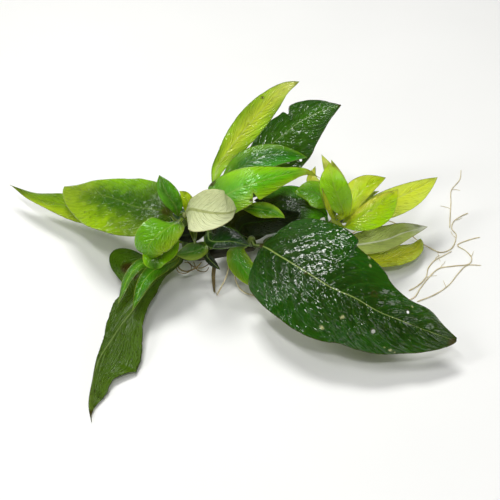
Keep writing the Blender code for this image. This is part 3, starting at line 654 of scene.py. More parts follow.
def build_largest_leaf():
    leaf("leaf_largest", "front", 0.85,
         [(3.2, -6, 29), (6, -10.5, 33), (13, -20, 36.5), (24, -31, 38), (34, -39, 37), (45, -43, 34),
          (55, -47, 30), (69, -49, 24), (80, -50, 19), (90, -50, 14)],
         facing=[(-0.15, -0.44, 0.85), (-0.10, -0.42, 0.88), (0.0, -0.40, 0.90)],
         left=Half(29, peak=0.27, base=0.42, tip=1.15, lift=-12, bend=-8, back=2,
                   lobes=((0.88, 6, 0.10),)),
         right=Half(24, peak=0.33, base=0.35, tip=0.68, lift=-14, bend=-16, back=3.5), look="deep",
         tones=dict(centre="#053505", margin="#0f4c05", vein="#35661a", rib="#9cb25c", rim="#40300f",
                    tip="#133c05", tip_from=0.82, thin=0.1, vein_show=0.45, blotch_and_relief_shade=0.5), stalk=0.10,
         stalk_half=1.3, wave=(0.8, 3.0, 0.1), veins=Veins(13, 0.22, 0.55, 0.6, 1.0), cell=0.6,
         marks=(("brown", 0.680, 0.477, 1.5), ("brown", 0.784, -0.455, 1.2), ("ring", 0.624, -0.318, 0.9),
                ("blond", 0.572, -0.818, 0.6), ("blond", 0.560, -0.97, 0.6),
                ("blond", 0.799, -0.750, 0.5), ("blond", 0.500, 0.750, 0.9), ("blond", 0.557, 0.432, 0.7),
                ("blond", 0.550, 0.46, 0.6), ("blond", 0.763, 0.864, 0.7), ("brown", 0.361, 0.023, 0.8),
                ("brown", 0.990, 0.95, 3.0), ("brown", 0.100, 0.0, 1.6), ("bare", 0.629, -0.90, 8.0),
                ("blond", 0.737, 0.795, 0.35), ("blond", 0.76, 0.86, 0.35),
                ("blond", 0.784, 0.932, 0.35)), holes=((0.680, 0.477, 0.9), (0.784, -0.455, 0.75)))


def build_left_leaves():
    leaf("leaf_far_left", "left", 0.45,
         [(-43, 17, 25), (-63, 23, 22), (-79, 30, 18), (-97, 39, 14.5), (-113, 47, 12.5), (-125, 56, 12)],
         facing=[(0, -0.15, 1)], left=Half(8.5, peak=0.40, base=0.9, tip=1.3, lift=-4, bend=-8),
         right=Half(10.5, peak=0.42, base=0.9, tip=1.2, lift=-4, bend=-6), look="green",
         tones=dict(centre="#729d0c", margin="#588705", left="#adc917", vein="#8aa828", rib="#7d9430",
                    tip="#102c05", tip_from=0.8, thin=0.3), wave=(0.5, 2.5, 0.3))
    leaf("leaf_left_broad", "left", 0.80,
         [(-38, 8, 37), (-51, 11, 37), (-63, 20, 34), (-78, 31, 29), (-93, 42, 23)],
         facing=[(0, -0.25, 0.95)], left=Half(18, peak=0.45, base=0.7, tip=0.6, lift=-4, bend=-14),
         right=Half(17.5, peak=0.34, base=0.5, tip=1.1, lift=-4, bend=-6), look="green",
         tones=dict(centre="#0c5c04", margin="#84c705", left="#b0dc10", foot="#044604", foot_to=0.55,
                    tip="#a6c42e", tip_from=0.5, vein="#5f9220", rim="#a0b44c", thin=0.35, relief=0.65),
         wave=(0.6, 2.5, 0.0), veins=Veins(9, 0.26, 0.4, 0.5, 0.7),
         marks=(("brown", 0.680, -0.679, 0.5), ("brown", 0.582, -0.607, 0.5),
                ("brown", 0.607, -0.75, 0.6), ("brown", 0.64, -0.66, 0.4), ("brown", 0.12, 0.0, 2.5)))
    leaf("leaf_left_young", "left", 0.97, [(-34, 7, 41), (-38, 10.5, 46), (-42, 20, 49)],
         facing=[(0.3, -0.6, 0.7)], left=Half(4.5, peak=0.5, lift=14), right=Half(5, peak=0.5, lift=14),
         look="green", tones=dict(centre="#2a7a05", margin="#58ae05", rim="#3f6a14", relief=0.9),
         stalk_half=0.6)
    leaf("leaf_left_bud", "left", 0.93, [(-29, 13.5, 37), (-30.5, 16, 40), (-33, 18, 41)],
         facing=[(0.2, -0.6, 0.8)], left=Half(3, peak=0.5), right=Half(3, peak=0.5), look="bright",
         tones=dict(centre="#c4e616", margin="#cce81d"), stalk_half=0.6)
    leaf("leaf_left_curled", "left", 0.86,
         [(-35, -1.5, 38), (-40.5, -8.5, 39), (-45, -12, 36), (-46, -13.5, 31), (-45, -11, 26)],
         facing=[(-0.2, -0.4, 0.9), (-0.4, -0.8, 0.4), (-0.3, -0.9, -0.2)],
         left=Half(8.5, peak=0.5, base=0.7, tip=0.45, lift=-8, bend=-10),
         right=Half(9, peak=0.5, base=0.6, tip=0.45, lift=-8, bend=-10), look="bright",
         tones=dict(centre="#68b005", margin="#69b105", left="#94b80f", foot="#124405", rim="#b4ca44"))
    leaf("leaf_left_cupped", "left", 0.50,
         [(-36.5, 1, 25), (-41, -5.5, 25.5), (-43.5, -11, 24), (-43.5, -13.5, 21)],
         facing=[(-0.2, -0.4, 0.9), (-0.2, -0.8, 0.5)],
         left=Half(7.5, peak=0.55, base=0.6, tip=0.45, lift=8),
         right=Half(7.5, peak=0.55, base=0.6, tip=0.45, lift=8), look="green",
         tones=dict(centre="#327105", margin="#86d305", rim="#b6cf3a", rim_wide=0.7), under="pale")
    leaf("leaf_left_strap_1", "left", 0.28,
         [(-39, 0, 17.5), (-46, -5.5, 18), (-51.5, -9.5, 19.5), (-56, -17, 18.5), (-58, -23, 16),
          (-60, -28, 13)], facing=[(-0.5, -0.5, 0.8)], left=Half(3.2, peak=0.5),
         right=Half(3.2, peak=0.5), look="bright", tones=dict(centre="#4d9a05", margin="#2a7005"),
         stalk_half=0.7)
    leaf("leaf_left_strap_2", "left", 0.10,
         [(-35, -5, 18.5), (-39, -8.5, 19.5), (-45, -14.5, 20.5), (-49, -21.5, 19.5), (-51.5, -28, 16),
          (-53, -32, 13)], facing=[(-0.4, -0.6, 0.8)], left=Half(4.6, peak=0.5),
         right=Half(3.6, peak=0.45), look="bright",
         tones=dict(centre="#328c05", margin="#2f7005", foot="#2c510c", foot_to=0.45), stalk_half=0.7)
    leaf("leaf_folded_pale", "left", 0.97,
         [(-29, 4, 41), (-26.5, 0, 46), (-22, -5, 49.5), (-16, -8, 51), (-10, -7, 50), (-6, -1, 46.5)],
         facing=[(-0.6, -0.5, 0.6), (-0.3, -0.65, 0.7), (0.2, -0.7, 0.7)],
         left=Half(10.6, peak=0.60, base=0.75, tip=0.38, lift=4),
         right=Half(9.6, peak=0.38, base=0.62, tip=1.3, lift=4), look="cream",
         tones=dict(left="#d8dfa4", centre="#dce3ac", margin="#e9eebc", rib="#9aa356", rib_width=0.75),
         stalk=0.16, veins=Veins(12, 0.3, -0.15, 0.3, 0.4))


def build_torn_leaf():
    leaf("leaf_torn", "crown", 0.04,
         [(-37.5, -7, 13), (-45, -14.5, 12), (-53, -29, 10.5), (-58, -38, 9.5), (-62, -46, 8),
          (-66, -54, 6.3), (-68, -65, 3.9), (-68.5, -75, 1.9), (-66.5, -83, 0.8)],
         facing=[(-0.4, -0.3, 0.8), (-0.3, -0.3, 0.8), (-0.2, -0.4, 0.8), (0, -0.4, 0.8)],
         left=Half(17, peak=0.64, base=2.0, tip=1.9, lift=-24, turn=16, bend=-8,
                   lobes=((0.20, 3, 0.10), (0.76, -5, 0.07))),
         right=Half(11.5, peak=0.30, base=0.8, tip=4.0, lift=12, turn=-26, bend=-6,
                    lobes=((0.145, 20, 0.07), (0.24, -3, 0.05))), look="dull",
         tones=dict(gloss=0.35, film=0.24, foot="#3f680e", foot_to=0.4, left="#46680c", tip="#56701c",
                    tip_from=0.75, specks=0.1, centre="#385708", margin="#335305"), stalk=0.06,
         stalk_half=1.0, veins=Veins(5, 1.3, -0.3, 0.5, 0.8), ragged=0.45,
         # The two brown marks near the base of the right half are painted shade in the hollow that the
         # upturned lobe makes; the one at the torn tip is a brown stain.
         marks=(("brown", 0.215, 0.58, 3.6), ("brown", 0.97, -0.6, 3.0), ("brown", 0.23, 0.42, 2.4)))


def build_middle_leaves():
    leaf("leaf_upright_pale", "middle", 0.88,
         [(-17.5, 27, 36), (-16, 33.5, 41.5), (-10.5, 39, 48), (-5, 43, 54), (2, 46.5, 61.5),
          (9, 49, 68.5), (16, 51, 75), (23, 53, 78)],
         facing=[(0.2, -0.5, 0.8), (0.1, -0.8, 0.5), (0.0, -0.8, 0.6), (0, -0.6, 0.8)],
         left=Half(6.8, peak=0.60, base=1.0, tip=0.8, lift=10, bend=-8),
         right=Half(6.8, peak=0.55, base=1.0, tip=0.9, lift=10, bend=-8), look="pale",
         tones=dict(centre="#d2e637", margin="#a0ce1e", foot="#a1e120", foot_to=0.45, tip="#c7cd5d",
                    rim="#56781c", rim_wide=0.7), under="green", wave=(0.9, 3.0, 0.2),
         veins=Veins(11, 0.2, -0.2, 0.3, 0.5), marks=(("brown", 0.773, -0.70, 0.8),))
    leaf("leaf_upright_dark", "middle", 0.66,
         [(-12, 25, 34), (0, 37.5, 41), (10, 44, 48), (17, 47, 53), (24, 49, 58), (33, 50, 63),
          (43, 50, 67)], facing=[(-0.34, -0.47, 0.71)],
         left=Half(14.5, peak=0.66, base=1.2, tip=1.15, lift=-18, bend=-6,
                   lobes=((0.65, -2, 0.05), (0.695, -4.5, 0.012))),
         right=Half(18.5, peak=0.50, base=0.8, tip=0.9, lift=-18, bend=-6), look="deep",
         tones=dict(centre="#32660d", margin="#1a4e05", vein="#3a6418", rib="#8fa860", rim="#4f3812"),
         wave=(0.5, 2.0, 0.0), veins=Veins(11, 0.22, 0.4, 0.5, 0.8), holes=((0.631, 0.86, 0.7),),
         marks=(("brown", 0.631, 0.86, 1.2), ("brown", 0.73, -1.0, 1.2), ("brown", 1.0, 0.0, 1.5)))
    leaf("leaf_back_green", "middle", 0.90,
         [(-12.5, 21, 39), (-2, 29.5, 48), (9, 33, 51), (19, 33, 51), (27, 33, 49)],
         facing=[(0, -0.3, 0.95)], left=Half(8, peak=0.5, base=1.2, lift=-8, bend=-8),
         right=Half(8, peak=0.5, base=1.2, lift=-8, bend=-8), look="green",
         tones=dict(centre="#096b05", margin="#32a305", left="#639e05", vein="#3f8010", rib="#5c8a1c",
                    rim="#6b6a22"), reach=3)
    leaf("leaf_back_bright", "middle", 0.92,
         [(-17.5, 9.5, 41), (-13, 9, 45), (-6, 10, 49), (2, 12, 51), (16, 18, 51), (26, 22.5, 49),
          (33, 25, 43)], facing=[(-0.1, -0.5, 0.85), (0, -0.5, 0.85)],
         left=Half(10.5, peak=0.22, base=0.5, tip=1.3, lift=-6, bend=-10, back=2),
         right=Half(9.5, peak=0.20, base=0.5, tip=1.2, lift=-6, bend=-10, lobes=((0.35, -4.5, 0.016),)),
         look="bright",
         tones=dict(centre="#64c005", margin="#93c60c", left="#9bdf05", foot="#468e02", tip="#e6e63f",
                    tip_from=0.72, rim="#8a8038"), stalk=0.10, wave=(0.5, 2.5, 0.0),
         marks=(("brown", 0.17, -1.0, 2.4), ("brown", 0.385, 0.8, 0.9)))


def build_low_leaves():
    leaf("leaf_low_pointed", "middle", 0.38,
         [(-19, -1, 28), (-16, -5, 30.5), (-8, -6.5, 32), (0, -7.5, 30)], facing=[(0, -0.6, 0.8)],
         left=Half(7.5, peak=0.45), right=Half(3.5, peak=0.5), look="deep",
         tones=dict(centre="#053d05", margin="#051905", rim="#568420"), stalk_half=0.6)
    leaf("leaf_low_left", "middle", 0.18, [(-23, -2, 23), (-28, -4, 22.5), (-34.5, -4.5, 21.5)],
         facing=[(0, -0.8, 0.6)], left=Half(4.3, peak=0.5, base=0.6), right=Half(4.3, peak=0.5, base=0.6),
         look="green", tones=dict(centre="#1d7205", margin="#386818", left="#93ae36", rim="#9abf40"),
         stalk_half=0.6)
    # Painted shade: this leaf's near-black colour stands for the shadow under the bunch.
    leaf("leaf_low_dark", "middle", 0.55, [(-23.5, 4, 29), (-28, 1, 29.5), (-35.5, 0, 28.5)],
         facing=[(0, -0.8, 0.6)], left=Half(4.2, peak=0.5), right=Half(4.2, peak=0.5), look="shaded",
         tones=dict(centre="#050605", margin="#050605"), stalk_half=0.6)
    # Painted shade: the next two leaves are coloured nearly black for the shadow under the middle of the
    # bunch.
    leaf("leaf_under_left", "left", 0.08, [(-31, 10, 18.5), (-32, 18, 19), (-33, 27, 17), (-35, 37, 13)],
         facing=[(0, -0.2, 1)], left=Half(9, peak=0.4, base=0.6), right=Half(9, peak=0.4, base=0.6),
         look="shaded", tones=dict(centre="#0b4605"))
    leaf("leaf_under_back", "middle", 0.10, [(-14, 12, 18.5), (-5, 19, 18), (6, 26, 17), (18, 33, 14)],
         facing=[(0, -0.3, 0.95)], left=Half(12, peak=0.4, base=0.6), right=Half(11, peak=0.45, base=0.7),
         look="shaded", tones=dict(centre="#050505", margin="#050605"))
    leaf("leaf_low_small", "middle", 0.05, [(-20, -4, 20), (-18, -6, 18.5), (-14, -7, 14)],
         facing=[(0.2, -0.5, 0.85)], left=Half(2, peak=0.5), right=Half(2, peak=0.5), look="deep",
         tones=dict(centre="#050f05", margin="#052707"), stalk_half=0.6)
    leaf("leaf_low_tiny", "left", 0.88, [(-27, 2, 36), (-25.5, -5, 35.5), (-25, -9, 33)],
         facing=[(0, -0.3, 0.9)], left=Half(2, peak=0.5), right=Half(2, peak=0.5), look="green",
         tones=dict(centre="#050f05", margin="#082f05"), stalk_half=0.5)


def build_front_leaves():
    leaf("leaf_front_glossy", "front", 0.25,
         [(-5.5, -4, 24.5), (-5.5, -8, 23), (-1.5, -13.5, 18), (5.5, -18, 12)],
         facing=[(-0.5, -0.3, 0.8)], left=Half(5.5, peak=0.5), right=Half(6, peak=0.36, base=0.6),
         look="green", tones=dict(centre="#309405", margin="#6f960a", rim="#b4d038"))
    # Painted shade: this leaf's near-black colour stands for the shadow inside the bunch.
    leaf("leaf_inner_shaded", "front", 0.45,
         [(-5, 3.5, 27), (-3.5, 6, 30.5), (4, 6, 32.5), (14, 7, 33.5), (24, 14, 31)],
         facing=[(-0.1, -0.4, 0.9)], left=Half(6.5, peak=0.5), right=Half(7, peak=0.45), look="shaded",
         tones=dict(centre="#050a05", margin="#051205"))
    # Painted shade: the next leaf's foot is dark green where its stalk passes through the shadow inside the
    # bunch.
    leaf("leaf_inner_curled", "middle", 0.84,
         [(-14, 12.5, 36.5), (-8, 11.5, 37), (-1, 9.5, 38), (4, 8, 38.7), (10, 6, 38.7), (16, 3.2, 37.5)],
         facing=[(-0.2, -0.7, 0.7)], left=Half(3.8, peak=0.62, base=2.5, tip=0.7),
         right=Half(3.8, peak=0.60, base=2.5, tip=1.3), look="bright",
         tones=dict(foot="#142e08", foot_to=0.7, centre="#389105"), stalk=0.2, stalk_half=0.5)


def build_right_leaves():
    # Painted shade: its centre and left half are near black for the shadow inside the bunch, while its foot
    # and margin keep their own green.
    leaf("leaf_inner_dark", "right", 0.76, [(36, 15.5, 28), (31, 17, 31), (19, 21, 33), (2, 26, 28)],
         facing=[(0, -0.4, 0.9)], left=Half(10, peak=0.42, lift=-6), right=Half(8, peak=0.5, lift=-6),
         look="shaded",
         tones=dict(margin="#5cbd05", left="#0f3404", foot="#5fb80a", foot_to=0.4, centre="#052605",
                    gloss=0.7))
    leaf("leaf_inner_right", "right", 0.88, [(38, 16, 34), (34, 18, 37.5), (29, 20, 39), (21, 20.5, 38)],
         facing=[(0, -0.5, 0.85)], left=Half(7, peak=0.5, base=1.2), right=Half(6, peak=0.55, base=1.8),
         look="green", tones=dict(centre="#5cae05", margin="#86c40a"), stalk=0.14, stalk_half=0.6)
    leaf("leaf_inner_pale", "right", 0.82, [(39, 19, 29), (33, 27, 32.5), (30, 32, 37), (31.5, 36, 41)],
         facing=[(0.1, -0.3, 0.9), (0.2, -0.9, 0.4), (0.2, -0.9, 0.4)], left=Half(4.5, peak=0.5),
         right=Half(4, peak=0.5), look="pale", tones=dict(centre="#e6e645", margin="#d8e852"),
         stalk_half=0.5)
    leaf("leaf_right_front", "right", 0.98, [(43, 6.3, 37), (41.5, 6.5, 43), (38, 9, 52), (36, 18, 58)],
         facing=[(0, -0.9, 0.4)], left=Half(7, peak=0.6, lift=8), right=Half(6.5, peak=0.55, lift=8),
         look="bright",
         tones=dict(centre="#92d305", margin="#9ce10a", foot="#cfe608", foot_to=0.4, tip="#c1df05"),
         stalk_half=0.6)
    leaf("leaf_right_back_1", "right", 0.95, [(41.5, 16, 35.5), (40, 24, 41.5), (34, 35, 49)],
         facing=[(0, -0.4, 0.9), (0, -0.9, 0.4), (0, -0.9, 0.4)], left=Half(3.5, peak=0.5),
         right=Half(3.2, peak=0.5), look="bright", tones=dict(centre="#e6e66d", margin="#d8e860"),
         stalk_half=0.5)
    leaf("leaf_right_back_2", "right", 0.91, [(44.5, 16, 31.5), (44, 24, 36), (39, 36, 45)],
         facing=[(0, -0.4, 0.9), (0, -0.9, 0.4), (0, -0.9, 0.4)], left=Half(4, peak=0.5),
         right=Half(3.2, peak=0.5), look="bright", tones=dict(centre="#c6cc50", margin="#d3da31"),
         stalk_half=0.5)
    leaf("leaf_right_upper", "right", 0.93, [(47, 13, 34), (50, 18, 37), (56, 24, 39), (65, 30, 39)],
         facing=[(-0.2, -0.5, 0.85)], left=Half(7.5, peak=0.45, base=1.0), right=Half(4.5, peak=0.45),
         look="bright", tones=dict(centre="#c9e605", margin="#d7e832", vein="#b4d234", rib="#b4d040"),
         stalk_half=0.5)
    leaf("leaf_right_pointed", "right", 0.90, [(47, 6, 32), (51, 6.5, 35), (60, 12, 38), (70, 22.5, 38)],
         facing=[(-0.1, -0.5, 0.85)], left=Half(4.5, peak=0.5),
         right=Half(9, peak=0.5, lift=-10, bend=-10), look="bright",
         tones=dict(centre="#bde005", margin="#aee805", left="#e5e63a", tip="#dce61e", tip_from=0.8),
         stalk_half=0.6)
    leaf("leaf_right_long", "right", 0.66,
         [(39, 16, 23), (49, 19, 26.5), (60, 20.5, 29), (75, 28, 30), (93, 42, 29)],
         facing=[(-0.2, -0.5, 0.85)], left=Half(6, peak=0.55), right=Half(8.5, peak=0.55), look="pale",
         tones=dict(centre="#d8e53b", margin="#d8e84d", foot="#86a61e", gloss=0.7), stalk_half=0.6,
         reach=2.5)
    leaf("leaf_right_thin", "right", 0.84, [(45, 16.5, 29), (54, 23, 32.5), (62, 26.5, 33.5)],
         facing=[(-0.2, -0.5, 0.85)], left=Half(2, peak=0.6), right=Half(2, peak=0.6), look="pale",
         tones=dict(centre="#b4c444", margin="#c0d152"), stalk_half=0.5)
    leaf("leaf_right_sage", "right", 0.55,
         [(38, 5.5, 19.5), (45, 5, 18), (54, 6, 18), (65, 9, 18), (75, 15, 17), (87, 21, 15)],
         facing=[(0, -0.5, 0.85)], left=Half(7, peak=0.55), right=Half(5.5, peak=0.5), look="sage",
         tones=dict(tip="#e6e6e6", tip_from=0.78, rib_width=0.5, centre="#b4c46a", margin="#bccc6c",
                    rib="#e6eacb"), stalk_half=0.7, reach=3, veins=Veins(12, 0.3, -0.15, 0.3, 0.5))
    leaf("leaf_right_lower", "right", 0.40,
         [(34, 4.5, 14), (48, 3, 11), (61, 2, 10), (73, 7, 9), (81, 14, 7), (85, 22, 6)],
         facing=[(0, -0.5, 0.85)], left=Half(6, peak=0.6), right=Half(4.5, peak=0.75, base=1.2, tip=0.5),
         look="bright", tones=dict(centre="#e1e62b", margin="#d8e845"), stalk_half=0.7, reach=3)
    leaf("leaf_bud_1", "right", 1.0, [(38, 4, 38), (36, 1.5, 44), (34, 2, 49.5), (32, 4, 55.5)],
         facing=[(0.6, -0.6, 0.5)], left=Half(1.6, peak=0.5), right=Half(1.6, peak=0.5), look="bright",
         tones=dict(centre="#dee610", margin="#d8e80d"), stalk_half=0.4)
    leaf("leaf_bud_2", "right", 0.83, [(42, 3, 30), (40.5, -0.5, 36), (36.5, -2, 42)],
         facing=[(0, -0.7, 0.7)], left=Half(1.8, peak=0.6), right=Half(1.8, peak=0.6), look="bright",
         tones=dict(centre="#98a820", margin="#a2b318"), stalk_half=0.4)
    leaf("leaf_bud_3", "right", 0.97, [(39.5, 10.5, 35), (36, 13.5, 39), (33, 18, 44)],
         facing=[(0.3, -0.7, 0.6)], left=Half(2.5, peak=0.5), right=Half(2.5, peak=0.5), look="bright",
         tones=dict(centre="#6c9508", margin="#739f07"), stalk_half=0.4)


# Stems and roots


def strand(name, path, start_radius, end_radius, material, step=0.8, sides=12, uneven=0.08, rings=0.0):
    """A stem or root: a round skin along a smooth path, uneven along its length and closed at its ends."""
    curve = smooth_path(path)
    length = curve[1][-1]
    rows = max(int(length / step), 8)
    t = np.linspace(0.0, 1.0, rows + 1)
    mid, tangent, up = leaf_frames(curve, [(0.05, 0.1, 1.0)], t)
    side = np.cross(up, tangent)
    angle = np.linspace(0.0, 2 * math.pi, sides + 1)
    radius = start_radius + (end_radius - start_radius) * t
    seed = sum(ord(letter) for letter in name) * 0.31
    swell = np.array([[rough_value(place * length / 4, math.cos(a) * 0.8 + seed, math.sin(a) * 0.8)
                       for a in angle] for place in t])
    radius = radius[:, None] * (1 + uneven * swell)
    if rings:
        from_ring = (t * length / rings) % 1.0 - 0.5
        radius = radius * (1 + RING_HEIGHT * np.exp(-(from_ring / RING_WIDTH) ** 2))[:, None]
    ends = np.minimum(np.minimum(t, 1 - t) * length / start_radius, 1.0)
    radius = radius * np.sqrt(np.maximum(1 - (1 - ends) ** 2, 0.02))[:, None]
    points = (mid[:, None, :] + side[:, None, :] * (np.cos(angle) * radius)[..., None]
              + up[:, None, :] * (np.sin(angle) * radius)[..., None])
    values = {"around": np.cos(angle)[None, :] + 0 * radius, "length_mm": (t * length)[:, None] + 0 * radius}
    return sleeve(name, rows, sides, points, values, [material], seams=())


def build_stems():
    # Painted shade: the old crown's near-black olive stands for the shadow under the bunch, and the green
    # stems' own olive is darkened for the shade inside it.
    old = root_skin("old_stem_skin", "#1c1b0a", "#3d391a", 0.75, 0.05)
    green = root_skin("green_stem_skin", "#3c5214", "#768c30", 0.45, 0.4)
    for stem in STEMS.values():
        crown = stem.name == "root_crown"
        thing = strand(f"{stem.name}_skin", stem.path, stem.start_radius, stem.end_radius,
                       old if crown else green, step=0.6, sides=24, rings=6.5 if crown else 8.0)
        grown(thing, stem.name)


# Side roots of each root: place along it, turn away from it in radians, length.
ROOTLETS = {
    "root_long_1": ((0.42, 0.7, 9.0), (0.55, -0.9, 7.0), (0.74, 0.8, 6.0), (0.86, -0.7, 5.0)),
    "root_long_2": ((0.66, -0.8, 7.0), (0.80, 0.9, 6.0), (0.92, -0.8, 5.0)),
    "root_long_3": ((0.35, -0.7, 6.0), (0.7, 0.8, 5.0)),
    "root_long_4": ((0.3, 0.8, 6.0), (0.62, -0.7, 5.0)),
    "root_long_5": ((0.4, 0.8, 5.0),),
    "root_thick": ((0.9, 0.5, 4.0),),
}

# Thin brown roots that loop beside the crown.
LOOPS = (
    ((-33, 0.2, 12), (-35, -1.5, 10), (-34, -3, 8), (-30.5, -3.2, 7.6), (-28, -1.8, 9), (-28.6, 0, 11),
     (-31.5, 0.2, 11.6)),
    ((-30, 0.2, 12.2), (-27, -1.2, 10), (-23.5, -1.6, 9.4), (-20, -0.6, 10.8), (-18.5, 0.4, 12.2)),
    ((-27, 0.3, 12), (-25, -2.2, 8.6), (-21, -2.6, 8.2), (-19.5, -1.2, 10)),
)


def joined(name, things):
    """One object from several that have the same material."""
    bm = bmesh.new()
    materials = list(things[0].data.materials)
    for thing in things:
        bm.from_mesh(thing.data)
        bpy.data.objects.remove(thing, do_unlink=True)
    return finished(name, bm, materials)


def rootlet_path(curve, place, turn, length, seed):
    """A short side root that leaves a root at a place and wanders over the surface."""
    start = along(curve, np.array([place]))[0]
    way = directions(curve, np.array([place]))[0]
    heading = math.atan2(way[1], way[0]) + turn
    path = [start]
    for step in range(ROOTLET_STEPS):
        heading += 0.55 * rough_value(seed, step * 0.7, place * 9)
        move = np.array([math.cos(heading), math.sin(heading), 0.0]) * length / ROOTLET_STEPS
        path.append(path[-1] + move)
        path[-1][2] = max(path[-1][2] - 0.04, ROOTLET)
    return path


def build_roots():
    pale = root_skin("fresh_root_skin", "#b5a570", "#ece2c0", 0.5, 0.3)
    brown = root_skin("old_root_skin", "#4a3c1c", "#8d7a45", 0.6, 0.25)
    routes = {
        "root_thick": (((-17, 0.3, 11.6), (-17.4, -4.5, 6.5), (-17, -10, 1.1)), 1.15, 0.5, brown),
        "root_pale": (((-9.3, 0.6, 13), (-11.5, -5, 6.5), (-15.9, -11.6, 0.9)), 0.45, 0.35, pale),
        "root_loop": (((-33.5, 0, 11.8), (-34, -1.6, 9.6), (-31, -2.8, 8.4), (-27, -2.2, 9.2),
                       (-24.3, -0.8, 10.6), (-23, 0, 12)), 0.38, 0.3, brown),
        "root_back_1": (((-24, 6.6, 12), (-25, 12, 7.5), (-28, 22, 1.3), (-27, 31, 0.9)), 0.9, 0.6, brown),
        "root_back_2": (((-10, 7.4, 14.4), (-7, 13, 9), (-3, 24, 1.4), (2, 34, 0.8)), 0.8, 0.5, pale),
        "root_long_1": (((-6.5, 1.2, 14.4), (-7, -6, 7), (-3, -10, 1.7), (12, -12, 0.7), (38, -10, LIE),
                         (60, -15, LIE), (77, -13, LIE), (82, -6, LIE), (87, 1, LIE), (93, 7, LIE),
                         (100, 8.5, LIE), (108, 10, LIE), (110, 14, LIE), (108, 19, LIE), (104.5, 23, LIE),
                         (111, 27, LIE), (117, 29, LIE)), 0.34, 0.24, pale),
        "root_long_2": (((36, 8.5, 20.5), (38, 14, 12), (50, 22, 9), (62, 32, 9), (72, 33, 7), (81, 28, 3),
                         (86, 24, 1.1), (90, 21, 0.7), (95, 18, LIE), (99.5, 19.5, LIE), (102, 22, LIE),
                         (104.5, 28, LIE), (105, 31, LIE), (103.5, 35, LIE), (105, 40, LIE),
                         (109, 44, LIE), (114, 47, LIE)), 0.34, 0.24, pale),
        "root_long_3": (((76, -8, LIE), (81, -4.5, LIE), (85.5, 1, LIE), (87.5, 7, LIE), (91, 12, LIE),
                         (96, 15.5, LIE), (101, 19, LIE)), 0.3, 0.22, pale),
        "root_long_4": (((102.5, 35.5, LIE), (104, 44, LIE), (106, 54, LIE), (108, 65, LIE), (114, 74, LIE),
                         (116, 82, LIE)), 0.28, 0.2, pale),
        "root_long_5": (((79, -15, LIE), (88, -10.5, LIE), (96, -4, LIE), (102, 4, LIE), (107, 9, LIE),
                         (114, 9, LIE)), 0.28, 0.2, pale),
    }
    for name, (path, start_radius, end_radius, material) in routes.items():
        things = [strand(f"{name}_skin", path, start_radius, end_radius, material, uneven=0.25)]
        curve = smooth_path(path)
        for place, turn, length in ROOTLETS.get(name, ()):
            side_path = rootlet_path(curve, place, turn, length, len(things) * 1.7)
            things.append(strand(f"{name}_{len(things)}", side_path, ROOTLET, ROOTLET * 0.6, material,
                                 step=0.6, sides=6, uneven=0.3))
        for side_path in LOOPS if name == "root_loop" else ():
            things.append(strand(f"{name}_{len(things)}", side_path, 0.28, 0.2, material, step=0.6,
                                 sides=8, uneven=0.25))
        grown(joined(f"{name}_skin", things), name)


# Floor, light and camera


def build_floor():
    """Smooth white board, with a faint warm cloudiness."""
    bm = bmesh.new()
    bmesh.ops.create_grid(bm, x_segments=1, y_segments=1, size=3.0)
    material, tree = new_material("white_board")
    place = add(tree, "ShaderNodeTexCoord").outputs["Object"]
    cloud = patches(tree, place, 90.0, 2.0).outputs[0]
    colour = mixed(tree, cloud, linear("#efefed"), linear("#f5f5f3"))
    shader = add(tree, "ShaderNodeBsdfPrincipled", {"Base Color": colour, "Roughness": 0.7,
                                                    "Specular IOR Level": 0.2}).outputs[0]
    add(tree, "ShaderNodeOutputMaterial", {"Surface": shader})
    floor = finished("floor", bm, [material])


def area_light(name, place, aim, size, power, colour):
    data = bpy.data.lights.new(name, "AREA")
    data.shape = "RECTANGLE"
    data.size = size[0] * MM
    data.size_y = size[1] * MM
    data.energy = power
    data.color = linear(colour)[:3]
    light = bpy.data.objects.new(name, data)
    bpy.context.scene.collection.objects.link(light)
    light.location = Vector(place) * MM
    light.rotation_euler = (Vector(aim) - Vector(place)).to_track_quat("-Z", "Y").to_euler()


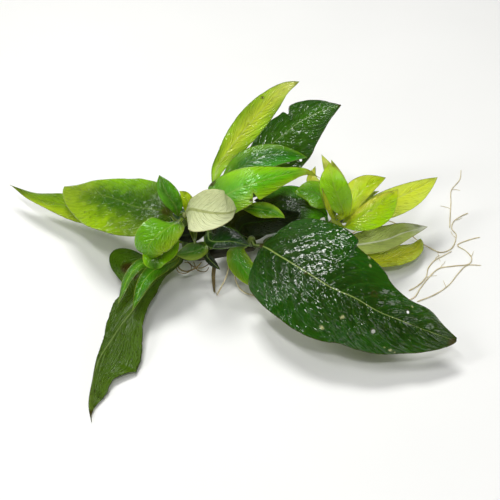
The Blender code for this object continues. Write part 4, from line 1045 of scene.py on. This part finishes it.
def build_light():
    bpy.context.scene.view_settings.view_transform = "Standard"
    area_light("back_softbox", (-120, 320, 820), (10, 0, 20), (310, 220), 4.7, "#fffffd")
    area_light("middle_tube", (-200, -180, 820), (10, 0, 20), (260, 50), 1.3, "#fdfdff")
    area_light("front_softbox", (60, -420, 780), (20, -10, 20), (160, 70), 1.6, "#fdfdff")
    area_light("left_tube", (-620, -170, 640), (0, 0, 20), (120, 240), 1.6, "#fffffd")
    area_light("left_fill", (-750, -120, 420), (0, 0, 10), (350, 250), 0.4, "#fffffd")
    area_light("right_fill", (750, -80, 420), (0, 0, 10), (350, 250), 0.9, "#fffffd")
    area_light("low_front_fill", (0, -800, 300), (0, 0, 10), (420, 150), 0.5, "#fdfdff")
    area_light("low_back_fill", (0, 800, 300), (0, 0, 10), (900, 350), 0.3, "#fdfdff")
    world = bpy.data.worlds.new("studio")
    bpy.context.scene.world = world
    world.use_nodes = True
    world.node_tree.nodes["Background"].inputs[0].default_value = linear("#f4f4f1")
    world.node_tree.nodes["Background"].inputs[1].default_value = 0.05


CAMERA_AIM = Vector((4.1, 0.5, 20.0))
CAMERA_AWAY = 424.3         # distance of the camera from the point that it looks at
CAMERA_TILT = 45.0          # degrees that it looks down
CAMERA_LENS = 65.0          # focal length on a sensor 36 mm wide


def build_camera():
    data = bpy.data.cameras.new("camera")
    data.sensor_width = 36.0
    data.lens = CAMERA_LENS
    data.clip_start = 0.01
    camera = bpy.data.objects.new("camera", data)
    bpy.context.scene.collection.objects.link(camera)
    tilt = math.radians(CAMERA_TILT)
    camera.location = (CAMERA_AIM + CAMERA_AWAY * Vector((0.0, -math.cos(tilt), math.sin(tilt)))) * MM
    camera.rotation_euler = (CAMERA_AIM * MM - camera.location).to_track_quat("-Z", "Y").to_euler()
    bpy.context.scene.camera = camera


build_stems()
build_largest_leaf()
build_left_leaves()
build_torn_leaf()
build_middle_leaves()
build_low_leaves()
build_front_leaves()
build_right_leaves()
build_roots()
build_floor()
build_light()
build_camera()
